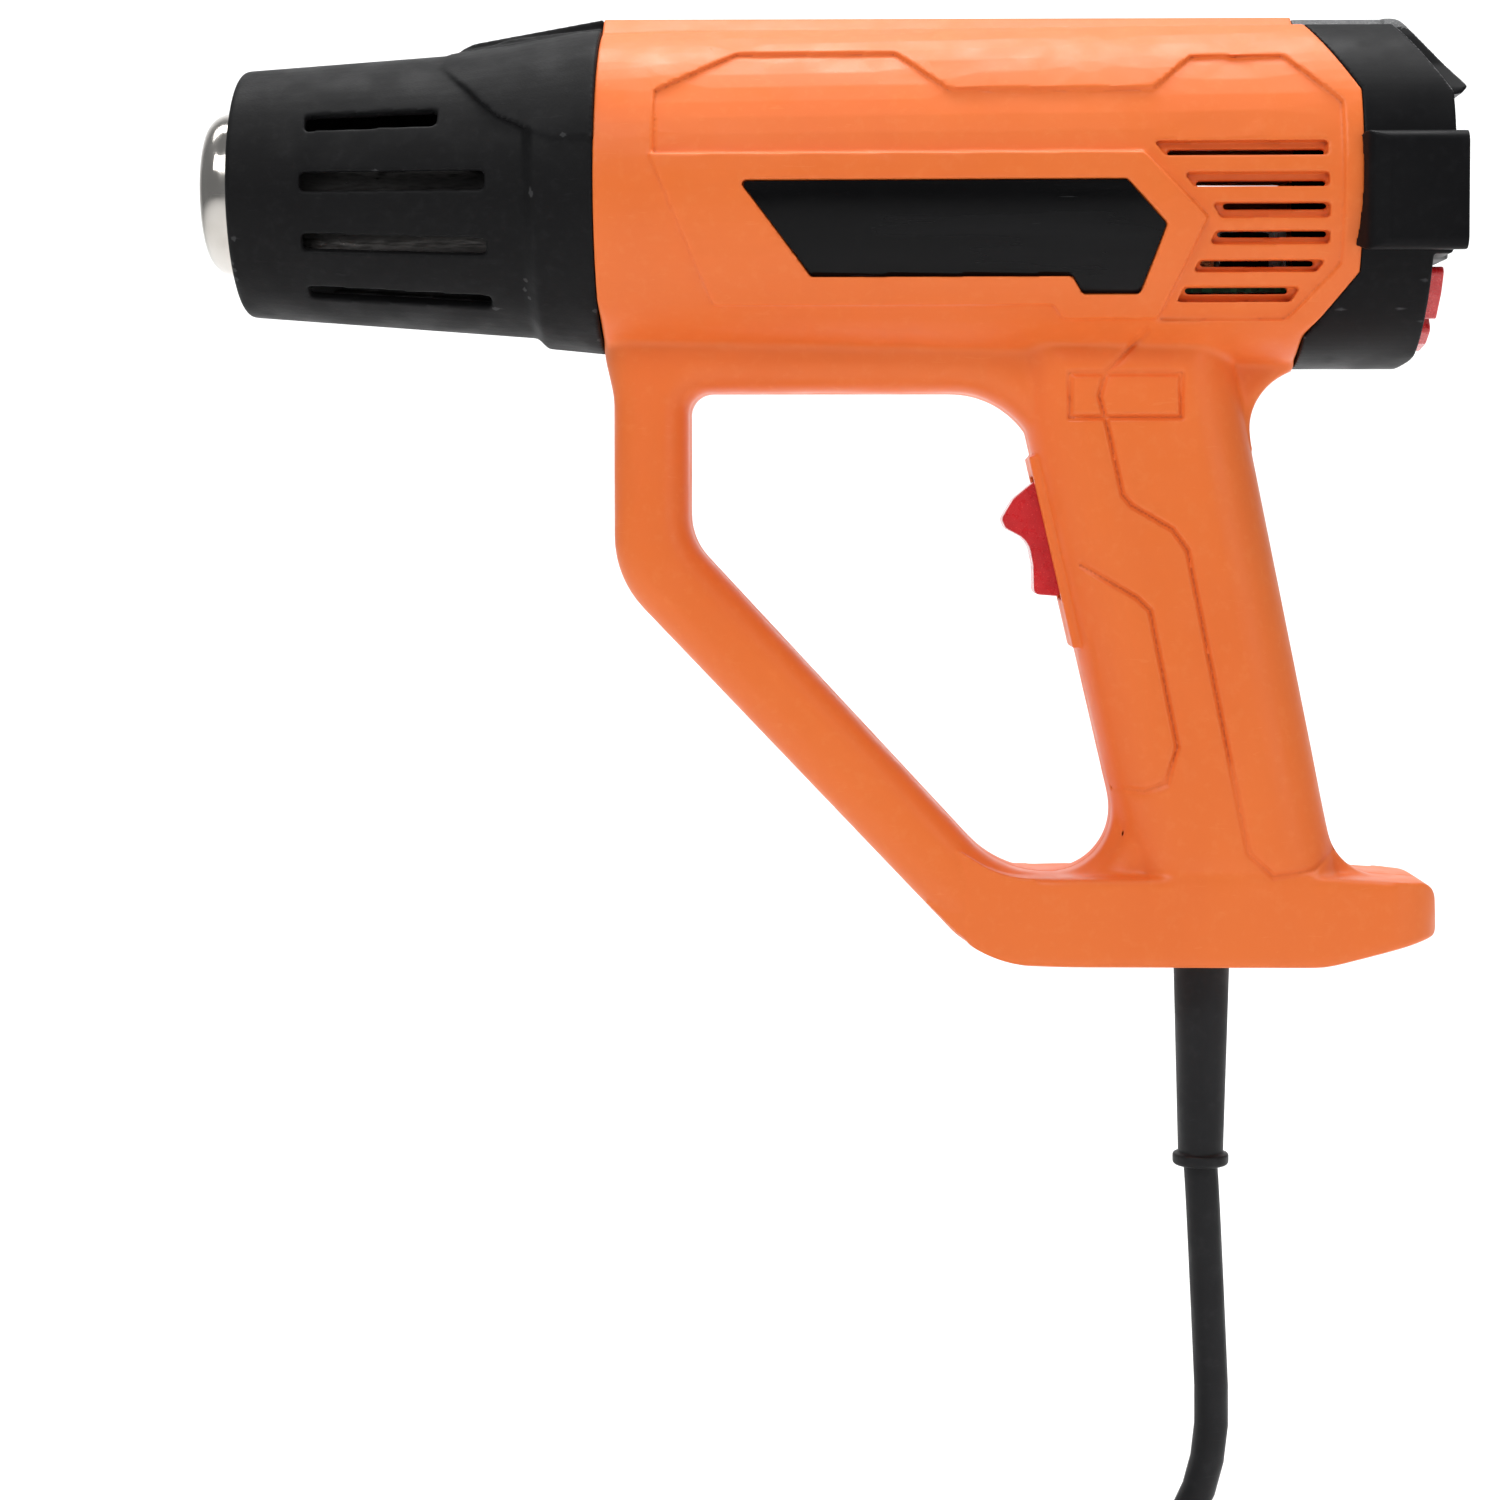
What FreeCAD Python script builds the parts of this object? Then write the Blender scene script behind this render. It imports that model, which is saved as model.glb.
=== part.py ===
import FreeCAD, Part
import math
import os

# Corded heat gun with a D-shaped handle. Units are millimetres.
# X runs along the barrel with the nozzle towards -X, +Z is up, and -Y is the left side.
# The origin is the middle of the hand grip.

Vector = FreeCAD.Vector
Rotation = FreeCAD.Rotation
Placement = FreeCAD.Placement

DIMENSIONS = {
    "barrel_axis_z": 89.6,
    "housing_front_x": -119.0,
    "barrel_front_r": 33.4,
    "barrel_rear_r": 36.6,
    "barrel_taper_len": 144.0,
    "barrel_len": 171.0,
    "barrel_wall": 2.8,
    "flat_height": 32.3,
    "spine_height": 35.7,
    "spine_top_half": 4.9,
    "spine_base_half": 10.2,
    "recess_depth": 0.9,
    "bezel_raise": 0.8,
    "plate_depth": 1.6,
    "plate_thick": 1.3,
    "plate_gap": 0.25,
    "louvre_depth": 3.0,
    "louvre_pad": 4.6,
    "louvre_pad_start": 1.0,
    "slit_height": 1.2,
    "line_depth": 0.6,
    "grip_width": 33.0,
    "grip_round": 12.5,
    "guard_width": 24.0,
    "guard_round": 6.5,
    "base_width": 33.0,
    "fillet_width": 14.0,
    "handle_wall": 2.6,
    "screw_head_r": 3.0,
    "screw_head_len": 2.0,
    "screw_shank_r": 1.4,
    "screw_len": 17.0,
    "boss_r": 4.4,
    "screw_seat_y": 9.0,
    "shroud_front_x": -194.2,
    "shroud_front_r": 25.5,
    "shroud_rear_r": 31.1,
    "shroud_wall": 2.2,
    "vent_width": 3.8,
    "nozzle_r": 16.9,
    "tube_r": 17.6,
    "tube_wall": 0.8,
    "tube_rear_x": -111.0,
    "nozzle_front_x": -201.8,
    "nozzle_stop_x": -181.0,
    "nozzle_flange_r": 25.0,
    "mouth_r": 11.5,
    "mica_r": 15.6,
    "mica_thick": 0.6,
    "heater_front_x": -186.0,
    "heater_len": 62.0,
    "coil_r": 4.2,
    "coil_wire_r": 0.45,
    "coil_pitch": 3.6,
    "duct_r": 29.1,
    "duct_wall": 1.4,
    "duct_front_x": -92.0,
    "duct_len": 36.0,
    "fan_r": 27.0,
    "fan_blades": 7,
    "shaft_r": 1.6,
    "shaft_gap": 0.06,
    "motor_r": 17.5,
    "motor_front_x": -56.0,
    "motor_len": 40.0,
    "motor_wall": 1.6,
    "rotor_r": 11.0,
    "rear_face_x": 51.5,
    "keypad_x": 47.7,
    "cap_wall": 2.2,
    "pod_x": 53.2,
    "divider_z": -15.4,
    "wing_front_x": 32.0,
    "wing_rear_x": 53.3,
    "wing_out_y": 40.4,
    "wing_in_y": 24.2,
    "wing_out_half": 12.6,
    "wing_in_half": 7.2,
    "wing_mid_z": -3.4,
    "wing_wall": 1.4,
    "window_w": 31.2,
    "window_h": 18.6,
    "bezel_w": 37.0,
    "bezel_h": 24.1,
    "button_out_x": 50.8,
    "button_len": 7.2,
    "button_gap": 0.3,
    "button_flange": 0.7,
    "rocker_x": -23.2,
    "rocker_z": 18.7,
    "rocker_width": 12.0,
    "rocker_gap": 0.4,
    "rocker_sweep_r": 12.7,
    "switch_half_len": 14.4,
    "switch_half_width": 8.4,
    "switch_depth": 18.0,
    "ear_half": 4.0,
    "pivot_r": 1.5,
    "cord_x": 6.0,
    "cord_d": 7.2,
    "relief_top_z": -66.0,
    "relief_end_z": -114.2,
    "relief_top_r": 5.9,
    "relief_low_r": 4.75,
    "relief_flange_r": 5.9,
    "floor_z": -246.0,
    "coil_ring_r": 40.0,
    "coil_turns": 5,
    "tie_thick": 1.3,
    "tie_width": 11.0,
    "plug_pin_r": 2.4,
    "plug_pin_len": 19.0,
    "plug_pin_gap": 19.0,
    "plug_len": 38.0,
}

doc = FreeCAD.newDocument("HeatGun")
sheet = doc.addObject("Spreadsheet::Sheet", "dims")
for row, (alias, value) in enumerate(DIMENSIONS.items(), start=1):
    sheet.set("A%d" % row, alias)
    sheet.set("B%d" % row, str(value))
    sheet.setAlias("B%d" % row, alias)
doc.recompute()

NODES = {}
AXIS_Z = "dims.barrel_axis_z"
ALONG_X = Rotation(Vector(0, 1, 0), 90)
ALONG_Y = Rotation(Vector(1, 0, 0), -90)
UPRIGHT = Rotation()
SIDE_VIEW = Rotation(Vector(1, 0, 0), 90)
END_VIEW = Rotation(Vector(1, 1, 1), 120)


def dim(alias):
    return float(sheet.get(alias))


def drive(obj, prop, value):
    """Bind a property to a sheet expression, or set it when it is a plain number."""
    if isinstance(value, str):
        obj.setExpression(prop, value)
    elif "." not in prop:
        setattr(obj, prop, value)


def seat(obj, at, turn=UPRIGHT):
    base = [0.0 if isinstance(value, str) else float(value) for value in at]
    obj.Placement = Placement(Vector(*base), turn)
    for letter, value in zip("xyz", at):
        drive(obj, "Placement.Base." + letter, value)
    return obj


def cylinder(name, radius, height, at=(0, 0, 0), turn=UPRIGHT):
    obj = doc.addObject("Part::Cylinder", name)
    drive(obj, "Radius", radius)
    drive(obj, "Height", height)
    return seat(obj, at, turn)


def cone(name, radius1, radius2, height, at=(0, 0, 0), turn=UPRIGHT):
    obj = doc.addObject("Part::Cone", name)
    drive(obj, "Radius1", radius1)
    drive(obj, "Radius2", radius2)
    drive(obj, "Height", height)
    return seat(obj, at, turn)


def box(name, length, width, height, at=(0, 0, 0), turn=UPRIGHT):
    obj = doc.addObject("Part::Box", name)
    drive(obj, "Length", length)
    drive(obj, "Width", width)
    drive(obj, "Height", height)
    return seat(obj, at, turn)


def fuse(name, *parts):
    obj = doc.addObject("Part::MultiFuse", name)
    obj.Shapes = list(parts)
    return obj


def cut(name, base, tool):
    obj = doc.addObject("Part::Cut", name)
    obj.Base = base
    obj.Tool = tool
    return obj


def common(name, *parts):
    obj = doc.addObject("Part::MultiCommon", name)
    obj.Shapes = list(parts)
    return obj


def mirrored(name, source):
    obj = doc.addObject("Part::Mirroring", name)
    obj.Source = source
    obj.Normal = Vector(0, 1, 0)
    obj.Base = Vector(0, 0, 0)
    return obj


def group(name, parts):
    obj = doc.addObject("Part::Compound", name)
    obj.Links = list(parts)
    return obj


def node(label, obj):
    obj.Label = label
    NODES[label] = obj
    return obj


def rounded(points):
    """Lines and tangent arcs round a closed outline of (u, v, corner radius)."""
    count = len(points)
    entries = []
    for i, (u, v, radius) in enumerate(points):
        corner = Vector(u, v, 0)
        before = Vector(points[i - 1][0], points[i - 1][1], 0)
        after = Vector(points[(i + 1) % count][0], points[(i + 1) % count][1], 0)
        to_before = (before - corner).normalize()
        to_after = (after - corner).normalize()
        if radius <= 0:
            entries.append((corner, None, corner))
            continue
        half = to_before.getAngle(to_after) / 2.0
        trim = radius / math.tan(half)
        bisector = (to_before + to_after).normalize()
        centre = corner + bisector * (radius / math.sin(half))
        middle = centre - bisector * radius
        entries.append((corner + to_before * trim, middle, corner + to_after * trim))
    pieces = []
    for i, (start, middle, end) in enumerate(entries):
        if middle is not None:
            pieces.append(Part.Arc(start, middle, end))
        following = entries[(i + 1) % count][0]
        if (following - end).Length > 1e-6:
            pieces.append(Part.LineSegment(end, following))
    return pieces


def with_radius(points, radius):
    return [(u, v, radius) for u, v in points]


def outline(name, loops, turn, at=(0, 0, 0)):
    obj = doc.addObject("Sketcher::SketchObject", name)
    seat(obj, at, turn)
    for loop in loops:
        obj.addGeometry(rounded(loop), False)
    return obj


def prism(name, loops, turn, forward, backward=0.0, at=(0, 0, 0)):
    """Extrude outlines along the sketch normal: -Y for a side view, +X for an end view."""
    obj = doc.addObject("Part::Extrusion", name)
    obj.Base = outline(name + "_outline", loops, turn, at)
    obj.DirMode = "Normal"
    obj.Solid = True
    drive(obj, "LengthFwd", forward)
    drive(obj, "LengthRev", backward)
    return obj


def slab(name, loops, width, at=(0, 0, 0)):
    """A side-view outline extruded evenly both ways across the middle plane."""
    half = "(%s) / 2" % width if isinstance(width, str) else width / 2.0
    return prism(name, loops, SIDE_VIEW, half, half, at)


def body_plane(body, role):
    return next(f for f in body.Origin.OriginFeatures if f.Role == role)


def body_sketch(body, role, loops, circles=()):
    sketch = body.newObject("Sketcher::SketchObject", body.Name + "_sketch")
    sketch.AttachmentSupport = [(body_plane(body, role), "")]
    sketch.MapMode = "FlatFace"
    for loop in loops:
        sketch.addGeometry(rounded(loop), False)
    for u, v, radius in circles:
        sketch.addGeometry(Part.Circle(Vector(u, v, 0), Vector(0, 0, 1), radius), False)
    return sketch


def turned(name, profile, at=(0, 0, AXIS_Z), axis="H_Axis"):
    """A body revolved about its own X axis (or Z, with V_Axis) from a rounded profile."""
    body = doc.addObject("PartDesign::Body", name)
    sketch = body_sketch(body, "XZ_Plane", [profile])
    feature = body.newObject("PartDesign::Revolution", name + "_turn")
    feature.Profile = sketch
    feature.ReferenceAxis = (sketch, [axis])
    feature.Angle = 360.0
    return seat(body, at)


def padded(name, role, loops, length, at=(0, 0, 0), circles=(), midplane=False):
    body = doc.addObject("PartDesign::Body", name)
    sketch = body_sketch(body, role, loops, circles)
    feature = body.newObject("PartDesign::Pad", name + "_pad")
    feature.Profile = sketch
    drive(feature, "Length", length)
    feature.Midplane = midplane
    return seat(body, at)


def smoothed(name, source, radius, chosen):
    """Round the chosen edges of an extrusion."""
    doc.recompute()
    obj = doc.addObject("Part::Fillet", name)
    obj.Base = source
    obj.Edges = [
        (i + 1, radius, radius) for i, edge in enumerate(source.Shape.Edges) if chosen(edge)
    ]
    return obj


def on_sides(half_width):
    """Edges that lie in either side face of a slab."""
    def test(edge):
        box_ = edge.BoundBox
        flat = box_.YLength < 1e-4
        return flat and abs(abs(box_.YMin) - half_width) < 1e-3
    return test


def bent_wire(points, share=0.45):
    """Straight runs joined by tangent arcs, with the bend radii that come out."""
    places = [Vector(*point) for point in points]
    edges = []
    radii = []
    start = places[0]
    for before, corner, after in zip(places, places[1:], places[2:]):
        back = before - corner
        ahead = after - corner
        shorter = min(back.Length, ahead.Length)
        turn = math.pi - back.getAngle(ahead)
        radius = share * shorter / math.tan(turn / 2.0)
        trim = share * shorter
        back.normalize()
        ahead.normalize()
        inward = (back + ahead).normalize()
        reach = radius / math.cos(turn / 2.0)
        first = corner + back * trim
        last = corner + ahead * trim
        edges.append(Part.LineSegment(start, first).toShape())
        edges.append(Part.Arc(first, corner + inward * (reach - radius), last).toShape())
        radii.append(radius)
        start = last
    edges.append(Part.LineSegment(start, places[-1]).toShape())
    return Part.Wire(edges), radii


def tube_shape(points, diameter):
    path, radii = bent_wire(points)
    start = Vector(*points[0])
    along = (Vector(*points[1]) - start).normalize()
    ring = Part.Wire([Part.Circle(start, along, diameter / 2.0).toShape()])
    solid = path.makePipeShell([ring], True, False)
    return solid, path.Length, radii


def wire_piece(name, point_lists, diameter):
    """Bent round wires or cords, one solid each."""
    solids = []
    for points in point_lists:
        solid, length, radii = tube_shape(points, diameter)
        solids.append(solid)
        expected = math.pi * diameter ** 2 / 4.0 * length
        tightest = min(radii) if radii else 0.0
        print("%s: length %.1f, tightest bend %.1f, volume %.3f of section x length"
              % (name, length, tightest, solid.Volume / expected))
    obj = doc.addObject("Part::Feature", name)
    obj.Shape = solids[0] if len(solids) == 1 else Part.makeCompound(solids)
    return obj


# ---------------------------------------------------------------- barrel stock


def barrel_stock(name, change, length="dims.barrel_len"):
    """The round tapering barrel, thicker or thinner than the outside by a given amount."""
    taper = cone(
        name + "_taper",
        "dims.barrel_front_r + " + change,
        "dims.barrel_rear_r + " + change,
        "dims.barrel_taper_len",
        ("dims.housing_front_x", 0, AXIS_Z),
        ALONG_X,
    )
    rear = cylinder(
        name + "_rear",
        "dims.barrel_rear_r + " + change,
        length + " - dims.barrel_taper_len",
        ("dims.housing_front_x + dims.barrel_taper_len", 0, AXIS_Z),
        ALONG_X,
    )
    return fuse(name, taper, rear)


def below_flat(name, drop):
    """Everything lower than the flat along the top of the barrel."""
    return box(
        name, 400, 120, 300,
        (-250, -60, "dims.barrel_axis_z + dims.flat_height - 300 - " + drop),
    )


def spine(name, shrink):
    top = dim("spine_height") - shrink
    half = dim("spine_top_half") - 0.4 * shrink
    base = dim("spine_base_half") - shrink
    low = 20.0
    shape = [
        (-base, low, 0), (base, low, 0), (base, dim("flat_height") - shrink - 0.6, 3),
        (half, top, 2.5), (-half, top, 2.5), (-base, dim("flat_height") - shrink - 0.6, 3),
    ]
    return prism(name, [shape], END_VIEW, "dims.barrel_len", 0.0,
                 ("dims.housing_front_x", 0, AXIS_Z))


SEAM = [(22.9, 60), (22.9, 33.9), (33.4, 17.0), (33.4, -18.8), (24.0, -31.0), (24.0, -60)]


def behind_seam(name):
    loop = [(x, z, 0) for x, z in SEAM] + [(120, -60, 0), (120, 60, 0)]
    return slab(name, [loop], 160.0, (0, 0, AXIS_Z))


def side_prism(name, points, reach=60.0):
    """A side-view outline on the barrel, extruded towards the left side only."""
    return prism(name, [points], SIDE_VIEW, reach, -8.0, (0, 0, AXIS_Z))


RECESS = [
    (-107.1, 4.6, 0), (-107.1, 17.8, 1), (-90.4, 26.2, 1), (-59.0, 26.1, 1), (-48.2, 17.9, 1),
    (-7.7, 17.7, 1), (0.2, 24.8, 1), (18.4, 24.8, 1), (29.6, 14.8, 1.5), (29.7, -17.4, 1.5),
    (20.0, -28.0, 1.5), (-6.1, -28.0, 0), (2.9, -8.4, 0), (-9.9, 4.6, 0),
]
BEZEL = [
    (-107.7, 4.6, 0), (-9.9, 4.6, 1), (2.7, -8.4, 1), (-6.1, -27.6, 1), (-25.0, -27.6, 1),
    (-27.0, -24.9, 1), (-95.4, -24.9, 1),
]
PLATE = [
    (-90.1, -0.7, 0.8), (-13.1, -0.7, 0.8), (-5.0, -9.5, 0.8), (-9.8, -22.9, 0.8),
    (-21.3, -22.9, 0.8), (-23.5, -19.6, 0.8), (-75.6, -19.6, 0.8),
]
# each louvre: left end at the top, left end at the bottom, right end top and bottom, top, bottom
LOUVRES = [
    (-7.9, -5.5, 26.4, 26.4, 6.8, 3.9, -1),
    (-2.0, 0.2, 26.7, 26.7, 0.5, -2.3, -1),
    (3.6, 5.6, 27.0, 27.0, -5.4, -8.4, 1),
    (4.7, 3.4, 27.2, 27.2, -10.8, -13.4, 1),
    (1.6, 0.5, 26.6, 25.0, -16.4, -18.7, 1),
    (-1.1, -2.2, 22.1, 20.4, -21.5, -24.4, 1),
]


def left_face_features():
    """Tools for the side panels: what is cut from and added to the barrel on the left."""
    panel = cut("panel_tool", side_prism("panel_prism", RECESS),
                barrel_stock("panel_floor", "0 - dims.recess_depth"))
    frame = common("bezel_frame", side_prism("bezel_prism", BEZEL),
                   barrel_stock("bezel_skin", "dims.bezel_raise"))
    pocket = cut("plate_pocket", side_prism("plate_prism", PLATE),
                 barrel_stock("plate_floor", "0 - dims.plate_depth"))
    slots = []
    slits = []
    for i, (lt, lb, rt, rb, top, low, side) in enumerate(LOUVRES):
        shape = [(lt, top, 0.4), (rt, top, 0.4), (rb, low, 0.4), (lb, low, 0.4)]
        slots.append(side_prism("louvre_%d" % i, shape))
        edge = top if side > 0 else low
        inner = sorted((edge, edge - side * dim("slit_height")))
        slit = [(max(lt, lb) + 0.4, inner[0], 0), (min(rt, rb) - 0.4, inner[0], 0),
                (min(rt, rb) - 0.4, inner[1], 0), (max(lt, lb) + 0.4, inner[1], 0)]
        slits.append(side_prism("louvre_slit_%d" % i, slit))
    recesses = cut("louvre_recesses", fuse("louvre_slots", *slots),
                   barrel_stock("louvre_floor", "0 - dims.louvre_depth"))
    openings = fuse("louvre_slits", *slits)
    return frame, [panel, recesses, openings, pocket]


def louvre_backing():
    """A thicker patch of wall behind the louvres."""
    patch = side_prism("louvre_patch", [(-12.0, 8.5, 0), (27.6, 8.5, 0), (27.6, -26.0, 0), (-12.0, -26.0, 0)])
    outer = barrel_stock("louvre_pad_outer", "0 - dims.louvre_pad_start")
    inner = barrel_stock("louvre_pad_inner", "0 - dims.louvre_pad")
    left = common("louvre_pad", patch, cut("louvre_pad_ring", outer, inner))
    return left, mirrored("louvre_pad_right", left)


# ---------------------------------------------------------------- handle


LEAN = Rotation(Vector(0, 1, 0), -13.15)


def leaned(x, y, z):
    """A point given in the rocker's own leaning frame (x inwards, z up the grip)."""
    return Vector(dim("rocker_x"), 0, dim("rocker_z")) + LEAN.multVec(Vector(x, y, z))


def leaned_box(name, x0, x1, y0, y1, z0, z1):
    return box(name, x1 - x0, y1 - y0, z1 - z0, tuple(leaned(x0, y0, z0)), LEAN)


OPENING = [
    (-101.4, 48.0, 4.5), (-33.3, 48.0, 19.0), (-9.9, -52.2, 13.0), (-36.4, -52.2, 22.0),
    (-101.4, 17.6, 13.0),
]
GUARD_OUT = [
    (-119.0, 64.0, 0), (-119.0, 55.6, 16.0), (-117.0, 47.0, 16.0), (-117.0, 9.5, 22.0),
    (-40.4, -70.6, 18.0), (4.0, -70.6, 0), (4.0, 64.0, 0),
]
GUARD_IN = [
    (-101.4, 48.0, 4.5), (-31.8, 48.0, 19.0), (-8.4, -52.2, 13.0), (-36.4, -52.2, 22.0),
    (-101.4, 17.6, 13.0),
]
GRIP = [(-37.0, 64.0, 0), (-8.1, -60.0, 0), (35.1, -60.0, 0), (9.6, 64.0, 0)]
BASE = [
    (-44.0, -65.5, 0), (-39.7, -70.6, 4.0), (30.0, -70.6, 20.0), (53.8, -64.4, 2.2),
    (53.2, -53.2, 4.6), (30.0, -51.8, 0), (-36.4, -52.2, 20.0), (-50.0, -44.0, 0), (-52.0, -58.0, 0),
]
FOOT = [
    (-20.0, -54.0, 0), (-24.0, -52.2, 0), (-9.9, -52.2, 13.0), (-15.0, -30.3, 0), (27.0, -24.5, 0),
    (33.7, -52.2, 12.0), (49.0, -53.0, 0), (47.0, -55.0, 0),
]
BASE_PLAN = [
    (-52.0, -9.0, 0), (-52.0, 9.0, 0), (-44.0, 12.0, 12), (-24.0, 16.5, 20), (54.0, 16.5, 12.0),
    (54.0, -16.5, 12.0), (-24.0, -16.5, 20), (-44.0, -12.0, 12),
]


def inset(points, wall):
    """Move a closed outline inwards by the wall thickness, keeping sharp corners."""
    edges = [Part.LineSegment(Vector(u, v, 0), Vector(points[(i + 1) % len(points)][0],
                              points[(i + 1) % len(points)][1], 0)).toShape()
             for i, (u, v, _) in enumerate(points)]
    loop = Part.Wire(edges).makeOffset2D(-wall, 2, False, False)
    return [(vertex.X, vertex.Y, 0) for vertex in loop.OrderedVertexes]


def handle_outside():
    guard_shape = slab("guard_block", [GUARD_OUT, GUARD_IN], "dims.guard_width")
    guard = smoothed("guard_round", guard_shape, dim("guard_round"), on_sides(dim("guard_width") / 2))
    grip_shape = slab("grip_block", [GRIP], "dims.grip_width")
    grip = smoothed("grip_round", grip_shape, dim("grip_round"), on_sides(dim("grip_width") / 2))
    base_side = slab("base_block", [BASE], "dims.base_width")
    base_plan = prism("base_plan", [BASE_PLAN], UPRIGHT, 70.0, 0.0, (0, 0, -74.0))
    base = common("base_shape", base_side, base_plan)
    foot = slab("foot_block", [FOOT], "dims.fillet_width")
    web_side = [(2.0, 64.0, 0), (2.0, 36.0, 0), (15.36, 36.0, 0), (11.86, 53.0, 13.0), (27.5, 53.0, 0),
                (27.5, 62.0, 0)]
    web = slab("rear_web", [web_side], "dims.fillet_width")
    rail = leaned_box("switch_rail", -4.0, 0.0, -8.8, 8.8, -23.5, 17.2)
    return [guard, grip, base, foot, web, rail]


def handle_inside():
    wall = dim("handle_wall")
    guard_void = slab("guard_void", [inset(GUARD_OUT, wall)], "dims.guard_width - 2 * dims.handle_wall")
    kept = slab("opening_wall", [[(u, v, r + wall) for u, v, r in grow(OPENING, wall)]], 60.0)
    guard = cut("guard_hollow", guard_void, kept)
    grip = smoothed(
        "grip_void_round",
        slab("grip_void", [[(-33.9, 64.0, 0), (-4.9, -60.0, 0), (32.2, -60.0, 0), (6.7, 64.0, 0)]],
             "dims.grip_width - 2 * dims.handle_wall"),
        dim("grip_round") - wall, on_sides(dim("grip_width") / 2 - wall),
    )
    base = slab("base_void", [[(-24.0, -67.8, 0), (28.0, -67.8, 6), (46.0, -62.9, 1), (46.0, -55.9, 1),
                               (31.0, -55.2, 0), (-6.0, -55.2, 0), (-24.0, -55.6, 0)]],
                "dims.base_width - 2 * dims.handle_wall - 3")
    return [guard, grip, base]


def grow(points, wall):
    """Move a convex closed outline outwards, keeping each corner's own radius."""
    count = len(points)
    middle_u = sum(p[0] for p in points) / count
    middle_v = sum(p[1] for p in points) / count
    lines = []
    for i, (u, v, _) in enumerate(points):
        nu, nv, _ = points[(i + 1) % count]
        length = math.hypot(nu - u, nv - v)
        normal = ((nv - v) / length, (u - nu) / length)
        if (u - middle_u) * normal[0] + (v - middle_v) * normal[1] < 0:
            normal = (-normal[0], -normal[1])
        lines.append((normal[0], normal[1], u * normal[0] + v * normal[1] + wall))
    grown = []
    for i, (_, _, radius) in enumerate(points):
        a1, b1, c1 = lines[i - 1]
        a2, b2, c2 = lines[i]
        det = a1 * b2 - a2 * b1
        grown.append(((c1 * b2 - c2 * b1) / det, (a1 * c2 - a2 * c1) / det, radius))
    return grown


SCREW_SPOTS = [(-104.6, 115.0), (-20.0, 115.0), (-109.0, 30.0), (-75.0, -21.0), (-30.0, -62.2),
               (42.0, -60.0), (-2.0, 45.0)]
GRIP_LINES = [
    [(-7.7, 59.9), (-15.7, 51.5), (-17.0, 46.8), (-15.1, 39.8), (-12.2, 26.7), (-10.4, 24.5),
     (-2.0, 19.6), (1.1, 15.3), (13.8, -46.8), (18.9, -51.5)],
    [(-20.4, 12.2), (-9.2, 5.6), (-6.5, 3.0), (-0.8, -24.9), (-3.0, -32.5), (-7.3, -34.1),
     (-14.7, -33.9)],
    [(-23.0, 51.5), (-0.3, 51.5), (-0.3, 42.5), (-23.0, 42.5), (-23.0, 51.5)],
]
LINE_WIDTH = 1.0


def line_strip(name, points):
    """A narrow band that follows a polyline, seen from the side."""
    bars = []
    for i, ((x1, z1), (x2, z2)) in enumerate(zip(points, points[1:])):
        length = math.hypot(x2 - x1, z2 - z1)
        turn = Rotation(Vector(0, 1, 0), -math.degrees(math.atan2(z2 - z1, x2 - x1)))
        side = Vector(x1, 0, z1) + turn.multVec(Vector(-LINE_WIDTH / 2, 0, -LINE_WIDTH / 2))
        bars.append(box("%s_%d" % (name, i), length + LINE_WIDTH, 80, LINE_WIDTH,
                        (side.x, -40, side.z), turn))
    return fuse(name, *bars)


def rocker_window(name):
    """The slot through the front of the grip for the rocker."""
    half = dim("rocker_sweep_r") + dim("rocker_gap")
    side = dim("rocker_width") / 2 + dim("rocker_gap")
    return leaned_box(name, -14.0, 8.0, -side, side, -half, half)


def bosses(y_from, y_to, radius, name):
    parts = []
    for i, (x, z) in enumerate(SCREW_SPOTS):
        parts.append(cylinder("%s_%d" % (name, i), radius, y_to - y_from, (x, y_from, z), ALONG_Y))
    return fuse(name, *parts)


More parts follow.
